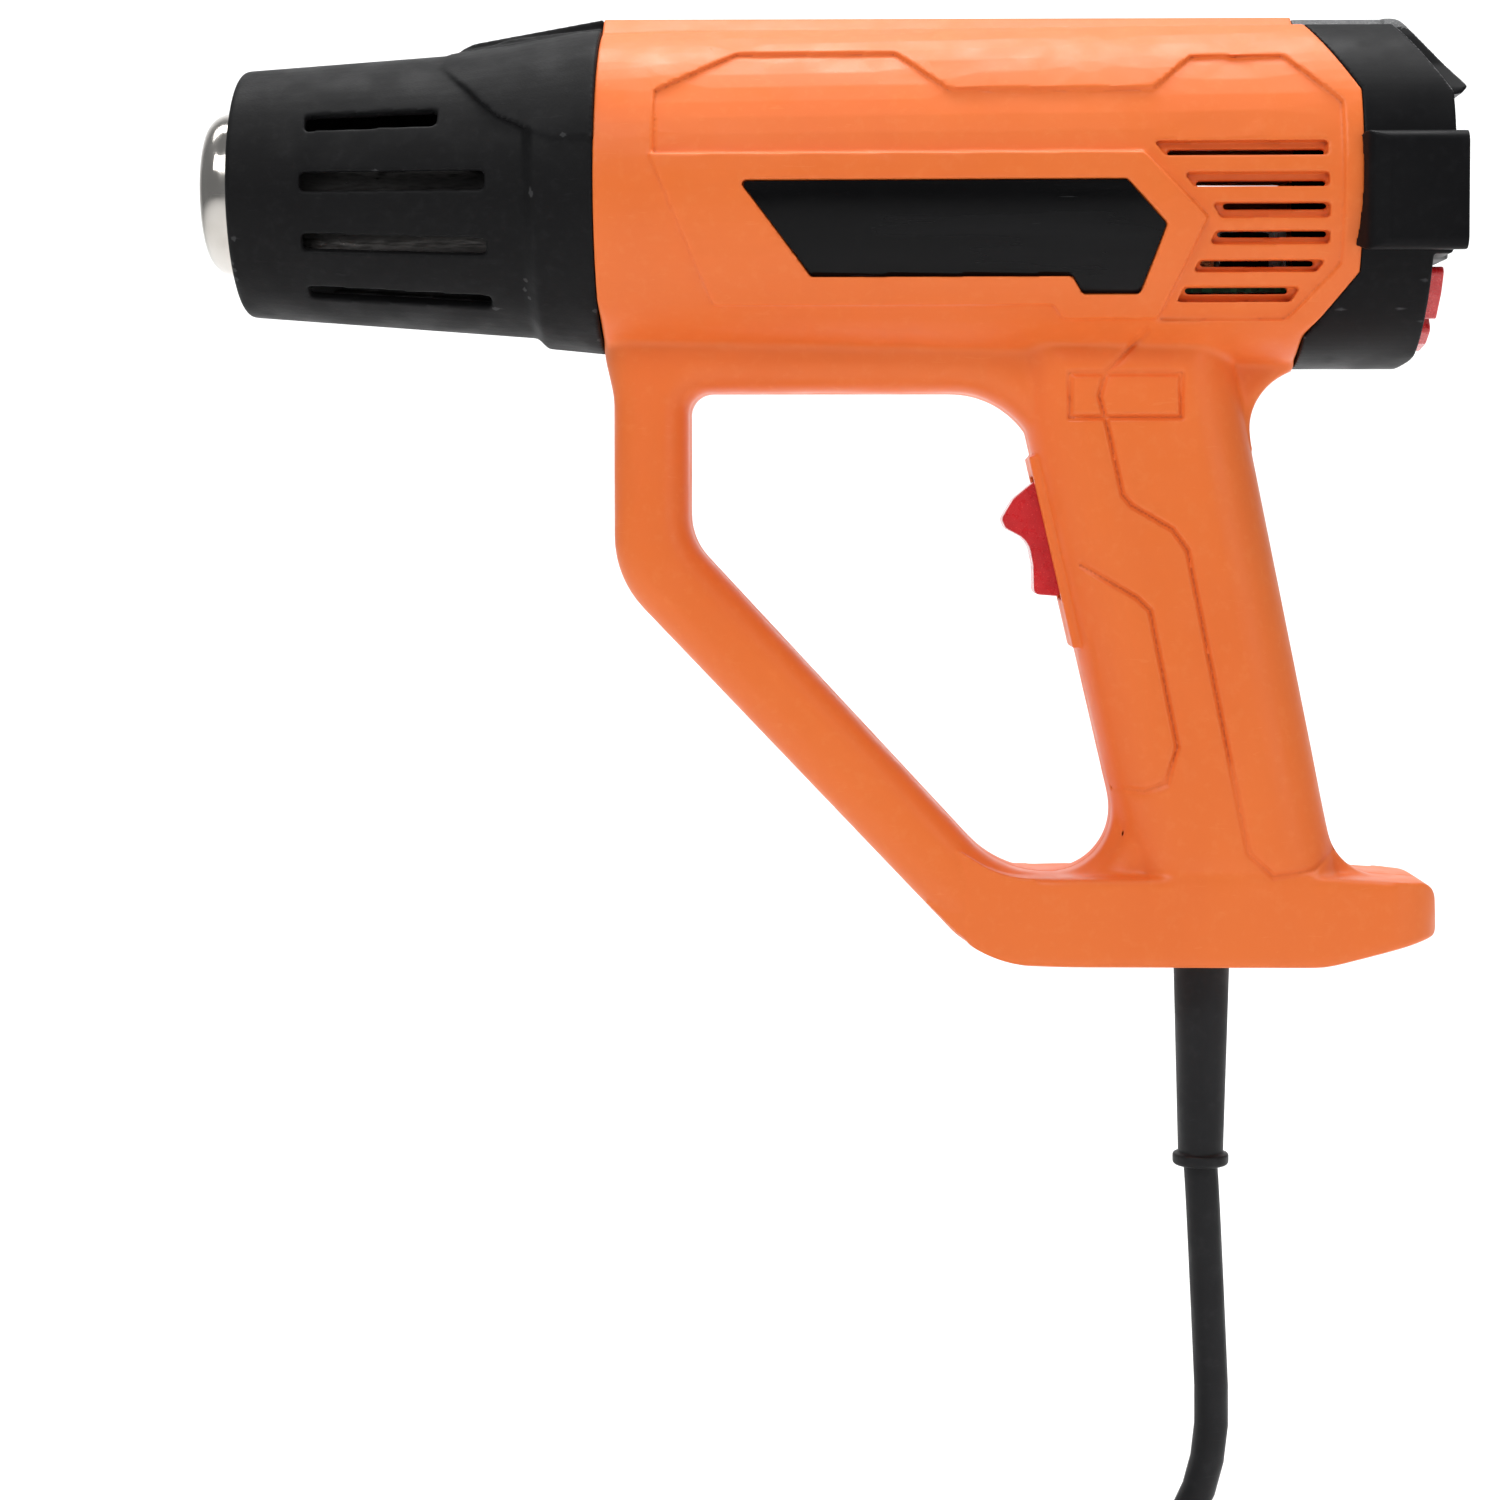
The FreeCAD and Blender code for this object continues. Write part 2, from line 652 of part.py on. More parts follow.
def build_housing():
    outer_round = barrel_stock("barrel_round", "0")
    flat_barrel = common("barrel_flat", outer_round, below_flat("barrel_flat_limit", "0"))
    frame, cuts = left_face_features()
    frame_right = mirrored("bezel_frame_right", frame)
    stock = fuse("housing_stock", flat_barrel, spine("barrel_spine", 0.0), frame, frame_right,
                 *handle_outside())
    inner_round = barrel_stock("barrel_bore_round", "0 - dims.barrel_wall", "dims.barrel_len + 1")
    bore = common("barrel_bore", inner_round, below_flat("bore_limit", "dims.barrel_wall"))
    hollow = fuse("housing_hollow", bore, *handle_inside())
    posts = common("boss_posts", bosses(-30.0, 30.0, "dims.boss_r", "boss_stock"), stock)
    shell = cut("housing_shell", stock, hollow)
    braced = fuse("housing_braced", shell, posts, *louvre_backing())
    mirrored_cuts = [mirrored(tool.Name + "_right", tool) for tool in cuts]
    grip_line = fuse("grip_lines", *[line_strip("grip_line_%d" % i, pts)
                                     for i, pts in enumerate(GRIP_LINES)])
    depth = dim("line_depth")
    deep = smoothed("line_floor", slab("line_floor_block", [GRIP], "dims.grip_width - 2 * dims.line_depth"),
                    dim("grip_round") - depth, on_sides(dim("grip_width") / 2 - depth))
    scribed = cut("grip_line_tool", cut("grip_line_over", grip_line,
                  barrel_stock("line_barrel_floor", "0 - dims.line_depth")), deep)
    relief_hole = cylinder("relief_hole", "dims.relief_top_r + 0.05", 16, ("dims.cord_x", 0, -76))
    removed = fuse("housing_cuts", behind_seam("housing_end"), *cuts, *mirrored_cuts, scribed,
                   rocker_window("rocker_slot"), ear_pocket(), relief_hole)
    whole = cut("housing_whole", braced, removed)
    left_room = box("left_room", 400, 100, 400, (-220, -100, -150))
    right_room = box("right_room", 400, 100, 400, (-220, 0, -150))
    left_bores = bosses(-9.0, 0.5, "dims.screw_shank_r + 0.05", "pilot_holes")
    clear_bores = bosses(-0.5, 20.0, "dims.screw_shank_r + 0.2", "clear_holes")
    head_bores = bosses(dim("screw_seat_y"), 60.0, "dims.screw_head_r + 0.3", "head_holes")
    node("housing_left", cut("housing_left_half", common("left_blank", whole, left_room), left_bores))
    right_cuts = fuse("right_screw_holes", clear_bores, head_bores)
    node("housing_right", cut("housing_right_half", common("right_blank", whole, right_room), right_cuts))
    screws = []
    for i, (x, z) in enumerate(SCREW_SPOTS):
        head = cylinder("screw_head_%d" % i, "dims.screw_head_r", "dims.screw_head_len",
                        (x, "dims.screw_seat_y", z), ALONG_Y)
        shank = cylinder("screw_shank_%d" % i, "dims.screw_shank_r", "dims.screw_len",
                         (x, "dims.screw_seat_y - dims.screw_len", z), ALONG_Y)
        slot_a = box("screw_slot_a_%d" % i, 3.4, 1.2, 0.7, (x - 1.7, "dims.screw_seat_y + 1.2", z - 0.35))
        slot_b = box("screw_slot_b_%d" % i, 0.7, 1.2, 3.4, (x - 0.35, "dims.screw_seat_y + 1.2", z - 1.7))
        recess = fuse("screw_recess_%d" % i, slot_a, slot_b)
        screws.append(cut("screw_%d" % i, fuse("screw_body_%d" % i, head, shank), recess))
    node("housing_screws", group("screw_set", screws))


def ear_pocket():
    """Room in the grip's front wall for the ears that hold the rocker's pivot."""
    side = dim("switch_half_width") + 0.3
    high = dim("ear_half") + 0.3
    return leaned_box("ear_pocket", -2.4, 1.5, -side, side, -high, high)


def build_nameplates():
    shape = inset_plate(PLATE, dim("plate_gap"))
    prism_ = side_prism("nameplate_prism", shape)
    outer = barrel_stock("nameplate_face", "0 - dims.plate_depth + dims.plate_thick")
    inner = barrel_stock("nameplate_back", "0 - dims.plate_depth")
    left = cut("nameplate_shell", common("nameplate_blank", prism_, outer), inner)
    node("nameplate_left", left)
    node("nameplate_right", mirrored("nameplate_mirror", left))


def inset_plate(points, gap):
    return [(u, v, 0.7) for u, v, _ in inset(points, gap)]


# ---------------------------------------------------------------- nose


def build_nose():
    front = dim("shroud_front_x")
    rear = dim("housing_front_x")
    wall = dim("shroud_wall")
    fr = dim("shroud_front_r")
    rr = dim("shroud_rear_r")
    profile = [
        (front, fr - wall, 0.4), (front, fr, 1.5), (-133.4, 30.0, 2.0), (-131.2, 32.2, 1.2),
        (rear, dim("barrel_front_r"), 0), (rear, 30.5, 0), (rear + 6.0, 30.5, 0),
        (rear + 6.0, 28.3, 0), (rear, rr - wall, 0),
    ]
    flat_room = box("spigot_flat", 6.1, 60, 10, ("dims.housing_front_x + 0.05", -30,
                    "dims.barrel_axis_z + dims.flat_height - dims.barrel_wall - 0.1"))
    skin = cut("shroud_spigot", turned("shroud_skin", profile), flat_room)
    lobe_cone = cone("lobe_cone", 29.0, 34.4, 32.0, (-151.0, 0, AXIS_Z), ALONG_X)
    bore_cone = cone("lobe_bore", 27.0, 31.0, 34.0, (-152.0, 0, AXIS_Z), ALONG_X)
    region = prism("lobe_region", [[(-153.0, 26.0, 3), (-139.0, 13.0, 4), (-128.0, 8.0, 2),
                                    (-119.0, 8.0, 0), (-119.0, 60.0, 0), (-153.0, 60.0, 0)]],
                   SIDE_VIEW, 60.0, 60.0, (0, 0, AXIS_Z))
    lobe = common("shroud_lobe", cut("lobe_shell", lobe_cone, bore_cone), region,
                  below_flat("lobe_flat", "0"))
    ridge = prism("shroud_ridge", [[(-148.5, 27.0, 0), (-148.5, 29.6, 0), (-146.0, 30.8, 2),
                                    (-119.0, 35.7, 0), (-119.0, 29.0, 0)]],
                  SIDE_VIEW, "dims.spine_top_half", "dims.spine_top_half", (0, 0, AXIS_Z))
    ridge_side = prism("shroud_ridge_low", [[(-143.0, 27.0, 0), (-143.0, 29.6, 0), (-138.0, 31.2, 2),
                                             (-119.0, 33.4, 0), (-119.0, 29.0, 0)]],
                       SIDE_VIEW, "dims.spine_base_half - 2", "dims.spine_base_half - 2", (0, 0, AXIS_Z))
    vents = []
    for i, (angle, start, end) in enumerate([(27, -178.0, -151.0), (0, -178.7, -141.1),
                                              (-27, -178.7, -141.1), (-54, -178.7, -141.1)]):
        for side in (1, -1):
            turn = Rotation(Vector(1, 0, 0), side * (90 - angle))
            half = dim("vent_width") / 2
            loop = [(start, -half, 0.9), (end, -half, 0.9), (end, half, 0.9), (start, half, 0.9)]
            vents.append(prism("vent_%d_%d" % (i, side), [loop], turn, 40.0, -12.0, (0, 0, AXIS_Z)))
    shroud = cut("shroud_vented", fuse("shroud_blank", skin, lobe, ridge, ridge_side),
                 fuse("shroud_vents", *vents))
    node("nose_shroud", shroud)


def build_heater():
    wall = dim("tube_wall")
    tube = dim("tube_r")
    mouth = dim("mouth_r")
    lip = dim("nozzle_r")
    front = dim("nozzle_front_x")
    stop = dim("nozzle_stop_x")
    rear = dim("tube_rear_x")
    flange = dim("nozzle_flange_r")
    profile = [
        (front, mouth, 0.35), (front, mouth + 2.5, 2.2), (front + 4.2, lip, 2.0), (stop, lip, 0),
        (stop, tube, 0.5), (rear, tube, 0), (rear, flange, 0), (rear + 1.2, flange, 0),
        (rear + 1.2, tube - wall, 0), (stop + 1.0, tube - wall, 0), (stop, lip - wall, 0),
        (front + 4.6, lip - wall, 1.0), (front + 1.2, mouth + 1.6, 1.0), (front + 1.2, mouth, 0.2),
    ]
    node("nozzle_tube", turned("nozzle_tube_body", profile))
    x0 = "dims.heater_front_x"
    sleeve = cut("mica_tube", cylinder("mica_outer", "dims.mica_r", "dims.heater_len", (x0, 0, AXIS_Z), ALONG_X),
                 cylinder("mica_inner", "dims.mica_r - dims.mica_thick", "dims.heater_len", (x0, 0, AXIS_Z), ALONG_X))
    node("mica_sleeve", sleeve)
    plate = 1.0
    arm = dim("mica_r") - dim("mica_thick") - 0.1
    cross = [(-plate / 2, -arm, 0), (plate / 2, -arm, 0), (plate / 2, -plate / 2, 0), (arm, -plate / 2, 0),
             (arm, plate / 2, 0), (plate / 2, plate / 2, 0), (plate / 2, arm, 0), (-plate / 2, arm, 0),
             (-plate / 2, plate / 2, 0), (-arm, plate / 2, 0), (-arm, -plate / 2, 0), (-plate / 2, -plate / 2, 0)]
    node("heater_former", padded("heater_former_body", "YZ_Plane", [cross], "dims.heater_len", (x0, 0, AXIS_Z)))
    turns = int((dim("heater_len") - 6.0) / dim("coil_pitch"))
    coils = []
    for side_y in (-1, 1):
        for side_z in (-1, 1):
            path = Part.makeHelix(dim("coil_pitch"), turns * dim("coil_pitch"), dim("coil_r"))
            start = Vector(dim("coil_r"), 0, 0)
            ring = Part.Wire([Part.Circle(start, Vector(0, 1, 0.14), dim("coil_wire_r")).toShape()])
            solid = Part.Wire(path.Edges).makePipeShell([ring], True, True)
            solid.Placement = Placement(
                Vector(dim("heater_front_x") + 3.0, side_y * 6.4, dim("barrel_axis_z") + side_z * 6.4), ALONG_X)
            coils.append(solid)
    wound = doc.addObject("Part::Feature", "heating_coils_shape")
    wound.Shape = Part.makeCompound(coils)
    node("heating_coils", wound)
    seat_x = "dims.heater_front_x + dims.heater_len + 0.2"
    ring = cut("heater_seat_ring", cylinder("seat_outer", "dims.mica_r", 8, (seat_x, 0, AXIS_Z), ALONG_X),
               cylinder("seat_inner", 11.5, 8, (seat_x, 0, AXIS_Z), ALONG_X))
    node("ceramic_seat", ring)
    probe = wire_piece("thermocouple_wire", [[(-192.0, 0.0, dim("barrel_axis_z") + 12.4),
                                              (-188.6, 0.0, dim("barrel_axis_z") + 13.0)]], 0.9)
    bead = doc.addObject("Part::Sphere", "thermocouple_bead")
    bead.Radius = 1.1
    seat(bead, (-192.4, 0, "dims.barrel_axis_z + 12.3"))
    node("thermocouple", fuse("thermocouple_parts", probe, bead))


def build_fan():
    x0 = "dims.duct_front_x"
    ring = cut("duct_ring", cylinder("duct_outer", "dims.duct_r", "dims.duct_len", (x0, 0, AXIS_Z), ALONG_X),
               cylinder("duct_inner", "dims.duct_r - dims.duct_wall", "dims.duct_len", (x0, 0, AXIS_Z), ALONG_X))
    cup = cut("motor_cup", cylinder("cup_outer", 19.2, 10, ("dims.motor_front_x - 2", 0, AXIS_Z), ALONG_X),
              fuse("cup_voids", cylinder("cup_inner", "dims.motor_r + 0.05", 8, ("dims.motor_front_x", 0, AXIS_Z), ALONG_X),
                   cylinder("cup_eye", 6.0, 12, ("dims.motor_front_x - 3", 0, AXIS_Z), ALONG_X)))
    vanes = []
    for i in range(5):
        turn = Rotation(Vector(1, 0, 0), 72 * i)
        vane = box("stator_vane_%d" % i, 6, 1.6, 10.4, (0, 0, 0))
        vane.Placement = Placement(Vector(-62.0, 0, dim("barrel_axis_z")), Rotation()).multiply(
            Placement(Vector(), turn)).multiply(Placement(Vector(4.0, -0.8, 18.6), Rotation()))
        vanes.append(vane)
    node("fan_duct", fuse("fan_duct_parts", ring, cup, *vanes))
    funnel = [(-109.6, 16.2, 0), (-109.6, 17.6, 0), (-100.2, 17.6, 1), (-95.0, 29.1, 1), (-92.2, 29.1, 0),
              (-92.2, 27.7, 0), (-94.2, 27.7, 0.5), (-99.2, 16.2, 1)]
    node("air_funnel", turned("air_funnel_body", funnel))
    hub = turned("fan_hub", [(-84.0, 1.62, 0), (-84.0, 5.5, 1.5), (-80.5, 9.5, 3), (-68.0, 9.5, 0),
                             (-68.0, 1.62, 0)])
    blades = []
    for i in range(int(dim("fan_blades"))):
        blade = box("fan_blade_%d" % i, 17.0, 1.3, 21.0)
        spin = Rotation(Vector(1, 0, 0), 360.0 / dim("fan_blades") * i + 11.0)
        pitch = Rotation(Vector(0, 0, 1), 38)
        blade.Placement = Placement(Vector(-75.5, 0, dim("barrel_axis_z")), spin).multiply(
            Placement(Vector(), pitch)).multiply(Placement(Vector(-8.5, -0.65, 7.2), Rotation()))
        blades.append(blade)
    limit = cut("fan_limit", cylinder("fan_limit_out", "dims.fan_r", 10.6, (-79.0, 0, AXIS_Z), ALONG_X),
                cylinder("fan_limit_in", 8.9, 14.0, (-82.0, 0, AXIS_Z), ALONG_X))
    vanes_cut = common("fan_blades", fuse("fan_blades_all", *blades), limit)
    node("fan_impeller", fuse("fan_impeller_parts", hub, vanes_cut))
    node("motor_shaft", padded("motor_shaft_body", "YZ_Plane", [], 68.0, (-84.0, 0, AXIS_Z),
                               circles=[(0, 0, dim("shaft_r"))]))
    r = dim("motor_r")
    w = dim("motor_wall")
    f = dim("motor_front_x")
    e = f + dim("motor_len")
    eye = dim("shaft_r") + dim("shaft_gap")
    case = [(f, eye, 0), (f, r, 1.5), (e, r, 0), (e, r - w, 0), (f + w, r - w, 0), (f + w, eye, 0)]
    node("motor_case", turned("motor_case_body", case))
    cap = [(e + 0.05, eye, 0), (e + 0.05, r - 0.2, 1.0), (e + 3.0, 8.0, 1.0), (e + 5.0, 8.0, 0.5),
           (e + 5.0, eye, 0)]
    node("motor_end_cap", turned("motor_end_cap_body", cap))
    rotor = cut("rotor_stack", cylinder("rotor_outer", "dims.rotor_r", 24, (-50.0, 0, AXIS_Z), ALONG_X),
                cylinder("rotor_bore", "dims.shaft_r", 24, (-50.0, 0, AXIS_Z), ALONG_X))
    node("motor_rotor", rotor)
    magnets = []
    for i, side in enumerate((-1, 1)):
        arc = cut("magnet_ring_%d" % i, cylinder("magnet_out_%d" % i, 15.8, 24, (-50.0, 0, AXIS_Z), ALONG_X),
                  cylinder("magnet_in_%d" % i, 11.6, 24, (-50.0, 0, AXIS_Z), ALONG_X))
        keep = box("magnet_keep_%d" % i, 30, 20, 26, (-53.0, 3.0 if side > 0 else -23.0, "dims.barrel_axis_z - 13"))
        magnets.append(common("magnet_%d" % i, arc, keep))
    node("motor_magnets", group("magnet_pair", magnets))


# ---------------------------------------------------------------- rear cap


BUTTONS = {
    "button_fan_up": [(-9.6, -17.4, 0.8), (9.6, -17.4, 0.8), (6.2, -22.7, 0.8), (-6.2, -22.7, 0.8)],
    "button_fan_down": [(-10.4, -25.8, 1.2), (10.4, -25.8, 1.2), (13.2, -29.2, 1.2), (7.6, -31.8, 2),
                        (0.0, -32.9, 8), (-7.6, -31.8, 2), (-13.2, -29.2, 1.2)],
    "button_temp_up": [(16.9, -17.4, 1.0), (28.2, -17.4, 1.2), (24.6, -22.6, 4), (18.4, -27.8, 1.2),
                       (12.7, -21.9, 0.8)],
}


def scaled_outline(points, gap):
    return [(u, v, max(r, 0.5)) for u, v, r in
            [(pu, pv, 0.8) for pu, pv, _ in grow_any(points, gap)]]


def grow_any(points, gap):
    """Move any closed outline outwards, found with a planar offset."""
    edges = [Part.LineSegment(Vector(u, v, 0), Vector(points[(i + 1) % len(points)][0],
                              points[(i + 1) % len(points)][1], 0)).toShape()
             for i, (u, v, _) in enumerate(points)]
    loop = Part.Wire(edges).makeOffset2D(gap, 2, False, False)
    return [(vertex.X, vertex.Y, 0) for vertex in loop.OrderedVertexes]


def button_loops():
    loops = dict(BUTTONS)
    loops["button_temp_down"] = [(-u, v, r) for u, v, r in reversed(BUTTONS["button_temp_up"])]
    return loops


def build_cap():
    stock = common("cap_round", cylinder("cap_cylinder", "dims.barrel_rear_r", 60, (15.0, 0, AXIS_Z), ALONG_X),
                   below_flat("cap_flat", "0"))
    hood = cap_hood()
    rear = dim("rear_face_x")
    key = dim("keypad_x")
    top = dim("flat_height")
    side = [(15, -38, 0), (key - 3.6, -38, 0), (key, -34.9, 2.0), (key, dim("divider_z"), 0.4),
            (rear, dim("divider_z"), 0.6), (rear, 16.6, 0.8), (41.6, top + 0.4, 2.0), (41.6, 40, 0), (15, 40, 0)]
    limit = slab("cap_side", [side], 120.0, (0, 0, AXIS_Z))
    body = common("cap_body", stock, limit, behind_seam("cap_start"))
    pod = display_pod()
    wall = dim("cap_wall")
    void_side = [(0, -36, 0), (key - 4.6, -36, 0), (key - wall, -34.0, 1), (key - wall, dim("divider_z") + wall, 0),
                 (rear - wall, dim("divider_z") + wall, 0), (rear - wall, 15.7, 0), (40.6, top - wall, 0), (0, top - wall, 0)]
    void_round = cylinder("cap_void_round", "dims.barrel_rear_r - 2.4", 80, (0.0, 0, AXIS_Z), ALONG_X)
    void = common("cap_void", void_round, slab("cap_void_side", [void_side], 120.0, (0, 0, AXIS_Z)))
    spigot_r = "dims.barrel_rear_r - dims.barrel_wall - 0.05"
    spigot = common("cap_spigot", cut("spigot_ring",
                    cylinder("spigot_outer", spigot_r, 7.4, (28.6, 0, AXIS_Z), ALONG_X),
                    cylinder("spigot_inner", "dims.barrel_rear_r - 4.6", 7.4, (28.6, 0, AXIS_Z), ALONG_X)),
                    below_flat("spigot_limit", "dims.barrel_wall + 0.05"))
    spigot_link = common("spigot_link", cut("link_ring",
                         cylinder("link_outer", "dims.barrel_rear_r", 6, (33.4, 0, AXIS_Z), ALONG_X),
                         cylinder("link_inner", "dims.barrel_rear_r - 4.6", 6, (33.4, 0, AXIS_Z), ALONG_X)),
                         below_flat("link_limit", "0"))
    shell = cut("cap_shell", fuse("cap_outside", body, hood, pod), void)
    holes = [prism("hole_" + name, [scaled_outline(loop, dim("button_gap"))], END_VIEW, 12.0, 0.0, (40.0, 0, AXIS_Z))
             for name, loop in button_loops().items()]
    window = frame_prism("window_hole", dim("bezel_w") - 3.0, dim("bezel_h") - 3.0, 2.0, 45.0, 20.0)
    seat_ = frame_prism("bezel_seat", dim("bezel_w") + 0.2, dim("bezel_h") + 0.2, 2.7, rear + 0.2, 20.0)
    node("rear_cap", cut("cap_finished", fuse("cap_with_spigot", shell, spigot, spigot_link),
                         fuse("cap_openings", window, seat_, *holes)))
    build_display()
    build_buttons()
    build_wings()


def cap_hood():
    """The bell-shaped ridge that carries the barrel's spine down the back of the cap."""
    back = prism("hood_profile", [[(20.0, 20.0, 0), (20.0, 35.2, 0), (44.4, 35.2, 2.5), (57.2, 19.7, 0.8),
                                   (55.8, 18.1, 0.4), (48.0, 17.2, 0)]],
                 SIDE_VIEW, 40.0, 40.0, (0, 0, AXIS_Z))
    bell = [(-19.0, 17.0, 0), (-17.8, 19.3, 0), (-13.6, 24.5, 6), (-10.4, 31.0, 6), (-8.4, 34.2, 3), (-4.9, 35.7, 4),
            (4.9, 35.7, 4), (8.4, 34.2, 3), (10.4, 31.0, 6), (13.6, 24.5, 6), (17.8, 19.3, 0), (19.0, 17.0, 0)]
    face = prism("hood_bell", [bell], END_VIEW, 80.0, 0.0, (0.0, 0, AXIS_Z))
    trim = behind_seam("hood_start")
    forward = prism("hood_forward", [[(-10.2, 20.0, 0), (10.2, 20.0, 0), (10.2, 31.7, 3), (4.9, 35.7, 2.5),
                                      (-4.9, 35.2, 2.5), (-10.2, 31.7, 3)]], END_VIEW, 50.0, 0.0, (0.0, 0, AXIS_Z))
    sloped = common("hood_sloped", back, face, box("hood_rear_room", 60, 80, 60, (41.5, -40, AXIS_Z)))
    straight = common("hood_straight", forward, trim, box("hood_front_room", 43.0, 80, 60, (0, -40, AXIS_Z)))
    return fuse("cap_hood_shape", sloped, straight)


def frame_prism(name, width, height, corner, start_x, depth):
    half_w = width / 2
    half_h = height / 2
    loop = with_radius([(-half_w, -half_h), (half_w, -half_h), (half_w, half_h), (-half_w, half_h)], corner)
    return prism(name, [loop], END_VIEW, depth, 0.0, (start_x, 0, AXIS_Z))


def display_pod():
    """The raised block round the screen, with sloping flanks."""
    rear = dim("rear_face_x")
    top = 16.7
    plan = [(rear - 1, -24.0, 0), (rear, -23.4, 0), (dim("pod_x"), -18.2, 0.6), (dim("pod_x"), 18.2, 0.6),
            (rear, 23.4, 0), (rear - 1, 24.0, 0)]
    return prism("display_pod", [plan], UPRIGHT, top - dim("divider_z"), 0.0,
                 (0, 0, "dims.barrel_axis_z + dims.divider_z"))


def build_display():
    w = dim("window_w")
    h = dim("window_h")
    rear = dim("rear_face_x")
    outer = frame_prism("bezel_outer", dim("bezel_w"), dim("bezel_h"), 2.6, rear + 0.25, 2.9)
    inner = frame_prism("bezel_inner", w, h, 0.8, rear - 1, 8.0)
    node("display_bezel", cut("bezel_ring", outer, inner))
    node("display_window", frame_prism("window_plate", w - 0.2, h - 0.2, 0.7, rear + 0.8, 1.0))
    node("lcd_panel", frame_prism("lcd_glass", 33.6, 20.6, 2.0, rear - 1.4, 1.6))
    node("lcd_backlight", frame_prism("backlight_block", 33.6, 20.6, 2.0, rear - 4.0, 2.55))
    board = frame_prism("board_blank", 48.0, 25.4, 1.0, rear - 5.7, 1.6)
    node("display_board", board)
    low = [(-26.0, -17.6, 1), (26.0, -17.6, 1), (22.3, -22.0, 2), (16.4, -26.6, 2), (7.5, -30.4, 2),
           (-7.5, -30.4, 2), (-16.4, -26.6, 2), (-22.3, -22.0, 2)]
    node("keypad_board", prism("keypad_board_blank", [low], END_VIEW, 1.6, 0.0, (36.6, 0, AXIS_Z)))
    node("button_mat", prism("button_mat_blank", [low], END_VIEW, 1.0, 0.0, (40.4, 0, AXIS_Z)))
    switches = []
    for i, (y, z) in enumerate([(-19.5, -21.5), (0.0, -20.2), (19.5, -21.5), (0.0, -28.3)]):
        base = box("tact_base_%d" % i, 1.6, 4.0, 4.0, (38.25, y - 2.0, dim("barrel_axis_z") + z - 2.0))
        tip = cylinder("tact_tip_%d" % i, 1.2, 0.4, (39.85, y, dim("barrel_axis_z") + z), ALONG_X)
        switches.append(fuse("tact_%d" % i, base, tip))
    node("tact_switches", group("tact_set", switches))


def build_buttons():
    for name, loop in button_loops().items():
        face = prism(name + "_face", [loop], END_VIEW, "dims.button_len", 0.0,
                     ("dims.button_out_x - dims.button_len", 0, AXIS_Z))
        skirt = prism(name + "_skirt", [scaled_outline(loop, dim("button_flange"))], END_VIEW, 1.1, 0.0,
                      ("dims.button_out_x - dims.button_len", 0, AXIS_Z))
        node(name, fuse(name + "_body", face, skirt))


def build_wings():
    z = dim("wing_mid_z")
    outline_ = [(dim("wing_out_y"), z + dim("wing_out_half"), 2.4), (dim("wing_in_y"), z + dim("wing_in_half"), 2.4),
                (dim("wing_in_y"), z - dim("wing_in_half"), 2.4), (dim("wing_out_y"), z - dim("wing_out_half"), 2.4)]
    wall = dim("wing_wall")
    inner = [(u, v, 1.2) for u, v, _ in inset(outline_, wall)]
    length = dim("wing_rear_x") - dim("wing_front_x")
    block = prism("wing_block", [outline_], END_VIEW, length, 0.0, ("dims.wing_front_x", 0, AXIS_Z))
    plan = [(dim("wing_front_x") - 1, 20, 0), (dim("wing_front_x"), 34.0, 0), (dim("wing_front_x") + 2.2, 39.4, 3.0),
            (dim("wing_front_x") + 8, 41.0, 3.0), (60, 41.0, 0), (60, 20, 0)]
    shaped = common("wing_shaped", block, prism("wing_plan", [plan], UPRIGHT, 60.0, 0.0, (0, 0, "dims.barrel_axis_z - 30")))
    hollow = prism("wing_hollow", [inner], END_VIEW, length, 0.0, ("dims.wing_front_x + 5", 0, AXIS_Z))
    cap_room = cylinder("wing_cap_round", "dims.barrel_rear_r", 40, ("dims.rear_face_x - 40", 0, AXIS_Z), ALONG_X)
    shell = cut("wing_shell", cut("wing_open", shaped, hollow), cap_room)
    ribs = []
    for i, (out_z, in_z) in enumerate([(6.1, 3.4), (0.0, 0.0), (-6.1, -3.4)]):
        u1 = dim("wing_out_y") - 0.6
        u2 = dim("wing_in_y") + 0.6
        loop = [(u2, z + in_z - 0.5, 0), (u1, z + out_z - 0.5, 0), (u1, z + out_z + 0.5, 0), (u2, z + in_z + 0.5, 0)]
        ribs.append(prism("wing_rib_%d" % i, [loop], END_VIEW, 6.0, 0.0, ("dims.wing_rear_x - 6.6", 0, AXIS_Z)))
    ribbed = cut("wing_ribs", fuse("wing_rib_set", *ribs),
                 cylinder("rib_cap_round", "dims.barrel_rear_r", 40, ("dims.rear_face_x - 40", 0, AXIS_Z), ALONG_X))
    right = fuse("wing_right", shell, ribbed)
    node("side_bumper_right", right)
    node("side_bumper_left", mirrored("wing_left", right))


# ---------------------------------------------------------------- grip contents


